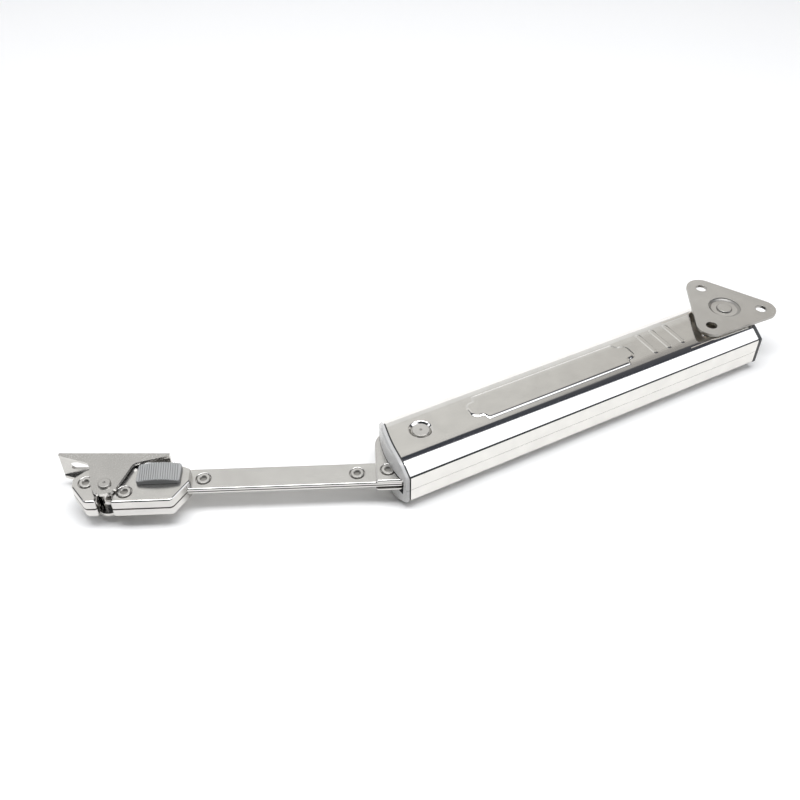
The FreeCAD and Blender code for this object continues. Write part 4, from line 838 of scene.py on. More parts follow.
def rolled(radius: float, top: float, edge: float, way: float = -1.0,
           steps: int = ROLL_STEPS) -> list[Level]:
    """The rounded edge of a turned profile.

    Args:
        radius: Radius of the side.
        top: Height of the top.
        edge: Radius of the edge.
        way: -1 for the brow of a head, 1 for the rim of a hole.
        steps: Segments of the edge.

    Returns:
        Its points as (radius, height), from the side up to the top.
    """
    turns = [pi / 2 * k / steps for k in range(steps + 1)]
    return [(radius + way * edge * (1.0 - cos(turn)), top - edge * (1.0 - sin(turn)))
            for turn in turns]


@dataclass
class Workshop:
    """Finishes solids into pieces of the scene.

    Attributes:
        palette: Where the materials come from.
    """

    palette: Palette

    def finish(self, solid: Solid, name: str, seat: Seat, looks: Sequence[Finish], body: str,
               node: str, sharp: float = SHARP_ANGLE) -> None:
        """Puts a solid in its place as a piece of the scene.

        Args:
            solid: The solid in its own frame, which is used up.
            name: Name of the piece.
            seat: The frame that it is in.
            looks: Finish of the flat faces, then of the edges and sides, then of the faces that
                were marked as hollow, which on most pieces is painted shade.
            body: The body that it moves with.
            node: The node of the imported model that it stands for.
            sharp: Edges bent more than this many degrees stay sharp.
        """
        mesh = solid.outward().mesh
        for face in mesh.faces:
            face.smooth = True
            if face.material_index != HOLLOW_LOOK:
                steep = len(looks) > 1 and abs(face.normal.z) < FACE_UP
                face.material_index = 1 if steep else 0
        bmesh.ops.transform(mesh, matrix=seat.matrix(), verts=mesh.verts)
        piece = solid.as_object(name)
        mesh.free()
        piece.data.set_sharp_from_angle(angle=radians(sharp))
        for look in looks:
            piece.data.materials.append(self.palette.get(look))
        piece.modifiers.new("normals", "WEIGHTED_NORMAL").keep_sharp = True
        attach(piece, body)
        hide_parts(node)
        LOG.info("%s: %d faces, for %s", name, len(piece.data.polygons), node)


@dataclass
class Housing:
    """The two covers that snap round the spring frame, and the pin that the lever turns on.

    Attributes:
        seat: The housing's frame: x along it from the front end, y to the back.
    """

    seat: Seat
    length: float = 199.0
    half_width: float = 18.9
    top_half_width: float = 11.9
    half_height: float = 12.0
    facet_rise: float = 4.75
    crown: float = 0.4
    flat_half_width: float = 6.0
    wall: float = 1.0
    seam_gap: float = 0.15
    facet_radius: float = 8.0
    side_radius: float = 2.0
    end_radius: float = 95.0
    end_bulge: float = 2.2
    end_apex: float = -15.0
    end_steps: int = 32
    crown_steps: int = 24
    panel: Level = (38.3, 132.0)
    panel_half_width: float = 8.6
    panel_offset: float = 0.8
    panel_nose: Spot = (5.4, 4.9, 3.9)
    panel_shoulder: Spot = (1.4, 1.2, 0.6)
    panel_rise: float = 0.55
    panel_wall: float = 1.9
    rib_rise: float = 0.21
    rib_wall: float = 1.25
    foot_share: float = 0.25
    brow_steps: int = 5
    foot: float = 0.2
    slice_pitch: float = 10.0
    rib_start: float = 142.0
    rib_pitch: float = 8.5
    rib_count: int = 3
    rib_width: float = 3.4
    rib_length: float = 16.6
    rib_offset: float = 1.3
    recess_sides: Level = (-11.3, 12.0)
    recess_floor: float = 7.6
    recess_starts: Level = (162.8, 177.0)
    recess_radius: float = 3.5
    recess_lip: float = 1.5
    recess_slope: float = 75.0
    recess_steps: int = 6
    recess_run: float = 4.0
    pin: Level = (13.85, 1.34)
    pin_recess: tuple[float, float, float, float] = (5.55, 4.3, 1.0, 0.9)
    pin_cover: float = 0.8
    pin_neck: float = 3.0
    pin_shaft: float = 4.0
    pin_head: Spot = (4.0, 0.15, 0.3)
    pin_mark: Level = (0.7, 0.35)
    pin_steps: int = 5
    window_end: float = 29.3
    window_half_height: float = 3.75

    def section(self, inset: float) -> tuple[float, float, float, float]:
        """Half of the section.

        Args:
            inset: How far inside the outer faces.

        Returns:
            Side, shoulder height, top half width and top height.
        """
        slope = atan2(self.facet_rise, self.half_width - self.top_half_width)
        return (self.half_width - inset,
                self.half_height - self.facet_rise - inset * tan((pi / 2 - slope) / 2),
                self.top_half_width - inset * tan(slope / 2),
                self.half_height - inset)

    def crown_at(self, across: float) -> float:
        """Height of the crown over the flat top, which falls away near the long edges.

        Args:
            across: Place across the housing.

        Returns:
            The height.
        """
        fall = max(0.0, abs(across) - self.flat_half_width)
        share = min(1.0, fall / (self.top_half_width - self.flat_half_width))
        return self.crown * (1.0 - share * share * (3.0 - 2.0 * share))

    def sag_at(self, across: float) -> float:
        """How far the curved front end lies behind its foremost line."""
        return self.end_radius - sqrt(self.end_radius ** 2 - (across - self.end_apex) ** 2)

    def bowed(self, solid: Solid, limit: float) -> Solid:
        """Bends the front of a solid to the curve of the front end.

        Args:
            solid: The solid.
            limit: Where the bent part ends.

        Returns:
            The solid, bent.
        """
        solid.sliced((0.0, 1.0, 0.0), spread_out(self.half_width, self.end_steps))
        for vert in solid.mesh.verts:
            if vert.co.x < limit:
                vert.co.x += self.sag_at(vert.co.y)
        return solid.outward()

    def arch(self) -> Solid:
        """One cover as an arch of sheet with a flat top, rounded edges and a curved front.

        Returns:
            The arch.
        """
        seam = self.seam_gap / 2.0
        side, shoulder, corner, top = self.section(0.0)
        in_side, in_shoulder, in_corner, in_top = self.section(self.wall)
        half = [(side, seam, 0.0), (side, shoulder, self.side_radius),
                (corner, top, self.facet_radius)]
        inner = [(in_corner, in_top, 0.0), (in_side, in_shoulder, 0.0), (in_side, seam, 0.0)]
        outline = half + [(-v, h, r) for v, h, r in reversed(half)]
        outline += [(-v, h, r) for v, h, r in reversed(inner)] + inner
        solid = Solid.plate(outline, -self.end_bulge, self.length).changed(ALONG)
        count = int(self.length / self.slice_pitch)
        solid.sliced((1.0, 0.0, 0.0), (k * self.slice_pitch for k in range(1, count + 1)))
        return self.bowed(solid, 0.0)

    def panel_spots(self) -> list[Spot]:
        """The long pressed panel: round noses between stepped shoulders.

        Returns:
            Its outline.
        """
        nose, step, nose_radius = self.panel_nose
        shoulder, outer_radius, inner_radius = self.panel_shoulder
        spots: list[Spot] = []
        for end, way in zip(self.panel, (1, -1)):
            half = [(end + way * (step + shoulder), self.panel_half_width, outer_radius),
                    (end + way * step, nose, inner_radius), (end, nose, nose_radius)]
            mirror = [(x, -y, r) for x, y, r in reversed(half)]
            spots += half + mirror if way > 0 else [(x, -y, r) for x, y, r in half + mirror]
        return [(x, y + self.panel_offset, r) for x, y, r in spots]

    def rib_spots(self, index: int) -> list[Spot]:
        """A cross rib with round ends.

        Args:
            index: Which rib, from the front.

        Returns:
            Its outline.
        """
        u = self.rib_start + index * self.rib_pitch
        half, radius = self.rib_length / 2.0, self.rib_width / 2.0
        nearly = radius * FULL_ROUND
        return oblong((u - radius, u + radius), (self.rib_offset - half, self.rib_offset + half),
                      nearly, nearly)

    def pressed(self, spots: Sequence[Spot], rise: float, width: float) -> Solid:
        """A raised pad on a flat top, with its foot in the sheet.

        Args:
            spots: Outline of the pad at its foot.
            rise: How high it is raised.
            width: How far the wall leans in over that height.

        Returns:
            The pad.
        """
        slope, bend = 2.0 * rise / width, self.foot_share * width
        profile = [(0.0, -self.foot), (0.0, CLEAR_LIFT),
                   (bend / 2.0, slope * bend / 8.0), (bend, slope * bend / 2.0)]
        rest = width - bend
        for k in range(1, self.brow_steps + 1):
            left = rest * (1.0 - k / self.brow_steps)
            profile.append((width - left, rise - slope * left ** 2 / (2.0 * rest)))
        return Solid.loft([(inset_spots(spots, depth), self.half_height + height)
                           for depth, height in profile])

    def recess(self) -> tuple[Solid, Solid]:
        """The dished recess over the rear rivet.

        Returns:
            The sheet under it, and the dish itself.
        """
        (near, far), end = self.recess_sides, self.length + self.recess_run
        front, back = self.recess_starts
        radius = self.recess_radius
        spots = [(front, near, radius), (end, near, 0.0), (end, far, 0.0), (back, far, radius)]
        lip, slope, steps = self.recess_lip, radians(self.recess_slope), self.recess_steps
        top = self.half_height + CLEAR_LIFT
        profile = [(lip * sin(slope * k / steps), top - lip * (1.0 - cos(slope * k / steps)))
                   for k in range(steps, -1, -1)]
        depth, height = profile[0]
        profile.insert(0, (depth + (height - self.recess_floor) / tan(slope), self.recess_floor))
        under = Solid.loft([(inset_spots(spots, depth - self.wall), height - self.wall)
                            for depth, height in profile])
        under.cut(Solid.block((self.length - self.seam_gap, end + self.recess_run),
                              (-self.half_width, self.half_width),
                              (0.0, self.half_height + PAST)))
        profile.append((0.0, top + PAST))
        return under, Solid.loft([(inset_spots(spots, depth), height)
                                  for depth, height in profile])

    def is_in_recess(self, place: Vector) -> bool:
        """Whether a place lies in the dished recess, below its rolled lip."""
        (near, far), low = self.recess_sides, self.recess_floor - PAST / 2.0
        return (place.x > min(self.recess_starts) and near < place.y < far
                and low < place.z < self.half_height - self.foot)

    def window(self) -> Solid:
        """The gap in the back side that the lever swings through."""
        high = self.window_half_height
        return Solid.block((-self.end_bulge - PAST, self.window_end),
                           (self.half_width - self.wall - PAST / 2.0, self.half_width + PAST),
                           (-high, high))

    def with_gaps(self, solid: Solid, face: float) -> Solid:
        """Presses in the seat of the pin's head, and opens the lever's window.

        Args:
            solid: A cover.
            face: Height of the face that the seat is in.

        Returns:
            The cover, changed.
        """
        radius, foot, depth, edge = self.pin_recess
        floor, steps = face - depth, self.pin_steps
        low, high = floor - self.wall, face - self.pin_cover
        under = Solid.post(radius + self.wall, low, high)
        slope = atan2(depth, radius - foot)
        brim = radius + edge * tan(slope / 2.0)
        turns = [slope * (1.0 - k / steps) for k in range(steps + 1)]
        roll = [(brim - edge * sin(turn), face - edge * (1.0 - cos(turn))) for turn in turns]
        dish = Solid.lathe([(0.0, low - PAST), (self.pin_neck, low - PAST),
                            (self.pin_neck, floor), (foot, floor)] + roll
                           + [(brim, face + PAST), (0.0, face + PAST)])
        return solid.joined(under.moved(*self.pin)).cut(dish.moved(*self.pin), self.window())

    def pivot_pin(self) -> Solid:
        """The riveted pin that the lever turns on.

        Returns:
            The pin.
        """
        head, sink, edge = self.pin_head
        ends = []
        for face in (self.half_height, self.half_height + self.crown):
            floor = face - self.pin_recess[2]
            ends.append([(self.pin_shaft, floor - self.wall), (self.pin_neck, floor - self.wall),
                         (self.pin_neck, floor), (head, floor)]
                        + rolled(head, face - sink, edge, steps=self.pin_steps))
        low, high = ends
        radius, depth = self.pin_mark
        top = high[-1][1]
        profile = [(0.0, -low[-1][1])] + [(r, -h) for r, h in reversed(low)] + high
        return Solid.lathe(profile + [(radius, top), (0.0, top - depth)]).moved(*self.pin)

    def crowned(self, solid: Solid) -> Solid:
        """Bends the flat top of a cover to its crown.

        Args:
            solid: The cover.

        Returns:
            The cover, bent.
        """
        reach = self.top_half_width
        solid.sliced((0.0, 1.0, 0.0), spread_out(reach, self.crown_steps))
        for vert in solid.mesh.verts:
            if vert.co.z > self.half_height - self.wall / 2.0 and abs(vert.co.y) < reach:
                vert.co.z += self.crown_at(vert.co.y)
        return solid

    def upper(self) -> Solid:
        """The upper cover with its panel, ribs, recess and pin seat.

        Returns:
            The cover.
        """
        solid = self.arch()
        pads = self.pressed(self.panel_spots(), self.panel_rise, self.panel_wall)
        pads.beside(*(self.pressed(self.rib_spots(i), self.rib_rise, self.rib_wall)
                      for i in range(self.rib_count)))
        sheet, hollow = self.recess()
        self.crowned(solid.joined(pads, sheet).cut(hollow))
        # the recess faces get the third finish, a painted brown shade and reflection
        return self.with_gaps(solid, self.half_height + self.crown).hollowed(self.is_in_recess)

    def build(self, shop: Workshop) -> None:
        """Makes both covers and the pin.

        Args:
            shop: Where pieces are finished.
        """
        lower = self.with_gaps(self.arch(), self.half_height).flipped()
        # the third finish paints shade and a brown reflection into the rear recess
        covers = (Finish.SATIN, Finish.POLISHED, Finish.RECESS_SHADE)
        for solid, name, looks, node in (
                (self.upper(), "cover_upper", covers, "upper_cover"),
                (lower, "cover_lower", covers[:2], "lower_cover"),
                (self.pivot_pin(), "pivot_pin", (Finish.STAMPED, Finish.INNER), "lever_pin")):
            shop.finish(solid, name, self.seat, looks, "housing", node)


@dataclass
class FrontCap:
    """The plastic nose at the front end, with the slot that the lever leaves by."""

    housing: Housing
    gap: float = 0.7
    rim: float = 1.6
    rim_edge: float = 0.5
    nose_radius: float = 59.0
    nose_apex: float = -8.0
    nose_reach: float = 3.4
    nose_lean: float = 1.4
    nose_belly: float = 0.3
    nose_edge: float = 0.6
    nose_levels: int = 12
    lid_steps: int = 10
    round_steps: int = 6
    inset: float = 1.0
    slot_half_height: float = 3.75
    slot_front: float = -16.4
    notch: Level = (0.35, 0.25)
    plug: Spot = (4.2, 0.1, 1.5)

    def bar(self, inset: float, start: float, end: float) -> Solid:
        """The full housing section as a bar, with its long edges rounded.

        Args:
            inset: How far inside the housing's outer faces.
            start: Front end.
            end: Rear end.

        Returns:
            The bar.
        """
        housing = self.housing
        side, shoulder, corner, top = housing.section(inset)
        across = [corner * (1.0 - 2.0 * k / self.lid_steps) for k in range(2, self.lid_steps - 1)]
        facet, edge = housing.facet_radius, housing.side_radius
        outline = [(corner, top, facet)]
        outline += [(v, top + housing.crown_at(v), 0.0) for v in across]
        outline += [(-corner, top, facet), (-side, shoulder, edge), (-side, -shoulder, edge),
                    (-corner, -top, facet), (corner, -top, facet), (side, -shoulder, edge),
                    (side, shoulder, edge)]
        return Solid.plate(outline, start, end, self.round_steps).changed(ALONG)

    def fronted(self, solid: Solid, start: float, edge: float) -> Solid:
        """Rounds the front edge of a bar."""
        return solid.rounded(
            lambda e: all(v.co.x < start + PLANE_TOLERANCE for v in e.verts), edge, ROLL_STEPS)

    def nose_face(self, across: float, height: float) -> float:
        """Place of the nose's leaning and slightly bellied outer face.

        Args:
            across: Place across the housing.
            height: Height over the mid plane.

        Returns:
            Its place along the housing.
        """
        share = (height / self.housing.half_height + 1.0) / 2.0
        belly = self.nose_belly * 4.0 * share * (1.0 - share)
        radius = self.nose_radius - self.nose_lean * share + belly
        centre = self.nose_radius - self.housing.end_bulge - self.nose_reach
        return centre - sqrt(radius ** 2 - (across - self.nose_apex) ** 2)

    def nose(self, start: float, end: float) -> Solid:
        """The nose.

        Args:
            start: Its front end.
            end: Its rear end, which lies in the rim.

        Returns:
            The nose.
        """
        solid = self.fronted(self.bar(self.inset, start, end), start, self.nose_edge)
        solid.sliced((0.0, 0.0, 1.0), spread_out(self.housing.half_height, self.nose_levels))
        self.housing.bowed(solid, end + PAST)
        for vert in solid.mesh.verts:
            depth = vert.co.x - start - self.housing.sag_at(vert.co.y)
            if depth < (end - start) / 2.0:
                vert.co.x = self.nose_face(vert.co.y, vert.co.z) + depth
        return solid

    def build(self, shop: Workshop) -> None:
        """Makes the cap.

        Args:
            shop: Where pieces are finished.
        """
        housing = self.housing
        back = -housing.end_bulge - self.gap
        front = back - self.rim
        body = housing.bowed(self.fronted(self.bar(0.0, front, back), front, self.rim_edge), 0.0)
        body.joined(self.nose(front - self.nose_reach, back - self.rim / 4.0))
        length, fit, wall = self.plug
        plug = self.bar(housing.wall + fit, back - self.rim / 2.0, back + length)
        plug.cut(self.bar(housing.wall + fit + wall, back, back + length + PAST))
        body.joined(housing.bowed(plug, back + length + PAST))
        side, high = housing.half_width, self.slot_half_height
        sag = housing.sag_at(side)
        body.cut(Solid.block((front - self.nose_reach - PAST, back + length + sag + PAST),
                             (self.slot_front, side + PAST), (-high, high)))
        sag = housing.sag_at(-side)
        depth, high = self.notch
        body.cut(Solid.block((front + sag - PAST, back + sag + PAST),
                             (-side - PAST, -side + depth), (-high, high)))
        # the faces behind the rim's back get painted shade, so that the gap to the cover reads
        # dark
        body.hollowed(lambda place: place.x > back + housing.sag_at(place.y) - CLEAR_LIFT)
        shop.finish(body, "nose_cap", housing.seat, (Finish.CAP, Finish.CAP, Finish.DARK_PLASTIC_AND_GAP_SHADE),
                    "housing", "front_cap", PLASTIC_SHARP_ANGLE)


@dataclass
class Screw:
    """A low-head socket screw in a shallow seat."""

    head_radius: float = 3.0
    head_height: float = 1.2
    sink: float = 0.8
    edge: float = 0.4
    shaft: float = 1.5
    flats: float = 2.6
    socket_depth: float = 0.8
    mouth_share: float = 0.92
    mouth_depth: float = 0.25
    mouth_flare: float = 0.3
    mouth_rise: float = 0.1
    play: float = 0.35
    rim_roll: float = 0.35
    looks: tuple[Finish, ...] = (Finish.STAMPED, Finish.INNER, Finish.INNER)

    def solid(self, x: float, y: float, top: float, bottom: float) -> Solid:
        """The screw.

        Args:
            x: Place of its axis.
            y: Place of its axis.
            top: Height of the face that its seat is in.
            bottom: Lower end of the shaft.

        Returns:
            The screw.
        """
        seat = top - self.sink
        crown = seat + self.head_height
        head = self.head_radius
        body = Solid.lathe([(0.0, bottom), (self.shaft, bottom), (self.shaft, seat), (head, seat)]
                           + rolled(head, crown, self.edge) + [(0.0, crown)], SMALL_LATHE_STEPS)
        key = self.flats / sqrt(3.0)
        hexagon = [(key * cos(radians(60 * k)), key * sin(radians(60 * k)), 0.0) for k in range(6)]
        low, high = crown - self.mouth_depth, crown + self.mouth_rise
        mouth = Solid.lathe([(0.0, low), (key * self.mouth_share, low),
                             (key + self.mouth_flare, high), (0.0, high)], SMALL_LATHE_STEPS)
        body.cut(Solid.plate(hexagon, crown - self.socket_depth, crown + PAST), mouth)
        body.hollowed(lambda place: place.xy.length < key and place.z > seat - PLANE_TOLERANCE)
        return body.moved(x, y)

    def hole(self, x: float, y: float, top: float, bottom: float) -> Solid:
        """The cutter for the screw's seat and shaft.

        Args:
            x: Place of its axis.
            y: Place of its axis.
            top: Height of the face that the seat is in.
            bottom: Lower end.

        Returns:
            The cutter.
        """
        seat, rim = top - self.sink, self.head_radius + self.play
        return Solid.lathe([(0.0, bottom), (self.shaft, bottom), (self.shaft, seat), (rim, seat)]
                           + rolled(rim, top, self.rim_roll, 1.0)
                           + [(rim + self.rim_roll, top + PAST), (0.0, top + PAST)],
                           SMALL_LATHE_STEPS).moved(x, y)


@dataclass
class Lever:
    """The lever plates and the arm strips, with their screws."""

    seat: Seat
    screw: Screw
    sheet: float = 1.6
    gap: float = 0.05
    left: float = 20.85
    front: float = 22.0
    back: float = 11.0
    inner: float = 7.0
    hub: float = 6.5
    blend: float = 2.5
    corner: float = 1.3
    front_inner_radius: float = 2.0
    edge: float = 0.75
    seam_edge: float = 0.3
    pin_radius: float = 4.05
    rivets: tuple[Level, Level] = ((-9.5, -1.5), (-2.0, -12.0))
    rivet_radius: float = 1.5
    screw_x: float = -15.4
    arm_y: float = -15.35
    arm_half_width: float = 6.15
    arm_ends: Level = (-124.5, -8.6)
    arm_radii: Level = (3.0, 1.0)
    arm_screw_xs: Level = (-29.0, -96.5)
    boss: Level = (-117.0, 2.5)

    def drilled(self, spots: Sequence[Spot], low: float, holes: Sequence[Spot]) -> Solid:
        """A sheet with holes, a soft upper edge and painted shade on the seam below.

        Args:
            spots: Outline of the sheet.
            low: Height of its under face.
            holes: Holes as (x, y, radius), with the radius SCREWED for a screw's seat.

        Returns:
            The sheet.
        """
        high = low + self.sheet
        solid = Solid.plate(spots, low, high)
        solid.rounded(at_height(high), self.edge, ROLL_STEPS)
        solid.rounded(at_height(low), self.seam_edge)
        for x, y, radius in holes:
            if radius == SCREWED:
                solid.cut(self.screw.hole(x, y, high, low - PAST))
            else:
                solid.cut(Solid.post(radius, low - PAST, high + PAST).moved(x, y))
        # the faces of the lower seam get painted shade
        return solid.hollowed(lambda place: place.z < low + self.seam_edge * GROOVE_SHARE)

    def plate(self, outer: bool) -> Solid:
        """The upper lever plate.

        Args:
            outer: Whether it has the seat of the screw's head.

        Returns:
            The plate.
        """
        hub, full = self.hub, self.hub * FULL_ROUND
        spots = [
            (-self.left, -self.front, self.corner),
            (-self.inner, -self.front, self.front_inner_radius),
            (hub, -hub, full), (hub, hub, full), (-hub / 2.0, hub, self.blend),
            (-self.inner, self.back, self.blend),
            (-self.left, self.back, self.back * FULL_ROUND)]
        holes = [(0.0, 0.0, self.pin_radius)] + [(x, y, self.rivet_radius) for x, y in self.rivets]
        holes.append((self.screw_x, self.arm_y, SCREWED if outer else self.screw.shaft))
        return self.drilled(spots, self.sheet + self.gap, holes)

    def strip(self, outer: bool) -> Solid:
        """The upper arm strip.

        Args:
            outer: Whether it has the seats of the screws' heads.

        Returns:
            The strip.
        """
        y, half, shaft = self.arm_y, self.arm_half_width, self.screw.shaft
        boss_x, boss_radius = self.boss
        holes = [(x, y, SCREWED if outer else shaft) for x in self.arm_screw_xs]
        holes += [(self.screw_x, y, shaft), (boss_x, y, boss_radius)]
        return self.drilled(oblong(self.arm_ends, (y - half, y + half), *self.arm_radii), 0.0,
                            holes)

    def build(self, shop: Workshop) -> None:
        """Makes the plates, the strips and the screws.

        Args:
            shop: Where pieces are finished.
        """
        # the sides get the darker edge nickel as painted shade, and the lower seam gets painted
        # shade
        sheets = (Finish.STAMPED, Finish.EDGE_SHADE, Finish.GROOVE_SHADE)
        top = self.sheet * 2.0 + self.gap
        screw = self.screw.solid(self.screw_x, self.arm_y, top, -top)
        pair = [self.screw.solid(x, self.arm_y, self.sheet, -self.sheet)
                for x in self.arm_screw_xs]
        for solid, name, looks, node in (
                (self.plate(True), "lever_plate_upper", sheets, "lever_upper_plate"),
                (self.plate(False).flipped(), "lever_plate_lower", sheets, "lever_lower_plate"),
                (self.strip(True), "arm_strip_upper", sheets, "arm_upper_plate"),
                (self.strip(False).flipped(), "arm_strip_lower", sheets, "arm_lower_plate"),
                (screw, "screw_lever", self.screw.looks, "lever_screw"),
                (pair[0].beside(pair[1]), "screws_arm", self.screw.looks, "arm_screws")):
            shop.finish(solid, name, self.seat, looks, "lever", node)


@dataclass
class Head:
    """The clip-on head: two shells and their screws."""

    seat: Seat
    screw: Screw
    lever: Lever
    pin: Level = (-137.3, -21.6)
    reach: tuple[float, float, float, float] = (15.5, 35.7, 8.5, 11.7)
    front_right_cut: Level = (6.7, 10.9)
    back_right_cut: Level = (4.0, 2.1)
    back_left_cut: Level = (5.6, 5.5)
    front_left_cut: Level = (7.0, 9.4)
    left_lean: float = 0.4
    front_step: float = 0.5
    corner: float = 2.5
    slot: float = 3.15
    mouth: float = 1.0
    split_edge: float = 0.45
    half_height: float = 4.75
    edge: float = 0.9
    edge_steps: int = 6
    ceiling: float = 3.35
    play: float = 0.15
    screws: tuple[Level, Level] = ((-9.1, 3.4), (8.4, -2.9))
    screw_end: float = 0.4
    travel: float = 3.0
    catch_nose: Spot = (-6.7, 3.0, 0.55)
    catch_shoulder: Level = (4.55, 10.55)
    catch_step: Level = (14.9, -0.3)
    catch_far: Level = (26.7, 8.8)
    spring_box: tuple[float, float, float, float, float] = (11.2, 24.3, -3.7, 2.0, -0.3)
    post_place: tuple[float, float, float, float] = (21.3, 4.6, 7.0, 6.0)

    def room(self, x: Level, y: Level, z: Level) -> Solid:
        """A box from its limits on each axis, with x and y from the bracket's pin."""
        px, py = self.pin
        return Solid.block((px + x[0], px + x[1]), (py + y[0], py + y[1]), z)

    def blank(self) -> Solid:
        """The upper half of the head before its pockets.

        Returns:
            The half.
        """
        px, py = self.pin
        left, right, front, back = (px - self.reach[0], px + self.reach[1],
                                    py - self.reach[2], py + self.reach[3])
        s, m, r, step = self.slot, self.mouth, self.corner, front + self.front_step
        lean, full = left + self.left_lean, self.slot * FULL_ROUND
        solid = Solid.plate([
            (px + s, front, m), (right - self.front_right_cut[0], front, r),
            (right, front + self.front_right_cut[1], r),
            (right, back - self.back_right_cut[1], r),
            (right - self.back_right_cut[0], back, r), (left + self.back_left_cut[0], back, r),
            (left, back - self.back_left_cut[1], r), (lean, step + self.front_left_cut[1], r),
            (lean + self.front_left_cut[0], step, r), (px - s, step, m),
            (px - s, py + s, full), (px + s, py + s, full)], 0.0, self.half_height)
        solid.rounded(at_height(self.half_height), self.edge, self.edge_steps)
        return solid.rounded(at_height(0.0), self.split_edge)

    def arm_pocket(self) -> Solid:
        """The room for the arm's end.

        Returns:
            Its cutter.
        """
        half, y = self.lever.arm_half_width + self.play, self.lever.arm_y
        high, radius = self.lever.sheet + self.lever.gap, self.lever.arm_radii[0]
        end, mouth = self.lever.arm_ends[0] - self.play, self.pin[0] + self.reach[1] + PAST
        return Solid.plate(oblong((end, mouth), (y - half, y + half), radius, 0.0), -high, high)

    def catch_pockets(self) -> list[Solid]:
        """The room for the catch, its travel and its spring.

        Returns:
            The cutters.
        """
        p, high = 2.0 * self.play, self.ceiling
        front, length, nose_start = self.catch_nose
        shoulder, main = self.catch_shoulder
        step_x, step_y = self.catch_step
        far_x, far_y = self.catch_far
        low = self.lever.sheet + self.lever.gap
        return [
            self.room((nose_start - PAST, main), (front - p, front + length + p), (low, high)),
            self.room((shoulder - p, step_x + self.travel + p), (front - p, step_y + PAST),
                      (-PAST, high)),
            self.room((main - p, far_x + self.travel + p), (step_y - p, far_y + p),
                      (-PAST, high)),
            self.spring_room(low)]

    def spring_room(self, top: float) -> Solid:
        """The room for the catch spring, up to a height."""
        x0, x1, y, r, z = self.spring_box
        return self.room((x0, x1), (y - r, y + r), (z - r, top))

    def upper(self) -> Solid:
        """The upper shell.

        Returns:
            The shell.
        """
        px, py = self.pin
        x, y, a, b = self.post_place
        a, b = a / 2.0 + self.play, b / 2.0 + self.play
        solid = self.blank().cut(
            self.arm_pocket(), *self.catch_pockets(),
            self.room((x - a, x + a + self.travel), (y - b, y + b),
                      (-PAST, self.half_height + PAST)),
            *(self.screw.hole(px + x, py + y, self.half_height, -PAST) for x, y in self.screws))
        # the faces in the groove where the shells meet get painted shade
        return solid.hollowed(self.is_split)

    def lower(self) -> Solid:
        """The lower shell, with the boss that holds the arm.

        Returns:
            The shell.
        """
        px, py = self.pin
        boss_x, radius = self.lever.boss
        high = self.lever.sheet + self.lever.gap
        boss = Solid.post(radius, -high - PAST / 2.0, self.lever.sheet)
        solid = self.blank().flipped().cut(self.arm_pocket(), self.spring_room(PAST))
        solid.joined(boss.moved(boss_x, self.lever.arm_y))
        for x, y in self.screws:
            post = Solid.post(self.screw.shaft, -self.half_height - PAST, PAST)
            solid.cut(post.moved(px + x, py + y))
        # the faces in the groove where the shells meet get painted shade
        return solid.hollowed(self.is_split)

    def is_split(self, place: Vector) -> bool:
        """Whether a place lies in the groove where the shells meet."""
        return abs(place.z) < self.split_edge * GROOVE_SHARE

    def build(self, shop: Workshop) -> None:
        """Makes the shells and their screws.

        Args:
            shop: Where pieces are finished.
        """
        # sides in the darker edge nickel and the split groove in near-black steel, both painted
        # shade
        shells = (Finish.STAMPED, Finish.EDGE_SHADE, Finish.GROOVE_SHADE)
        px, py = self.pin
        pair = [self.screw.solid(px + x, py + y, self.half_height,
                                 self.screw_end - self.half_height) for x, y in self.screws]
        for solid, name, looks, node in (
                (self.upper(), "head_shell_upper", shells, "head_upper_shell"),
                (self.lower(), "head_shell_lower", shells, "head_lower_shell"),
                (pair[0].beside(pair[1]), "screws_head", self.screw.looks, "head_screws")):
            shop.finish(solid, name, self.seat, looks, "lever", node)


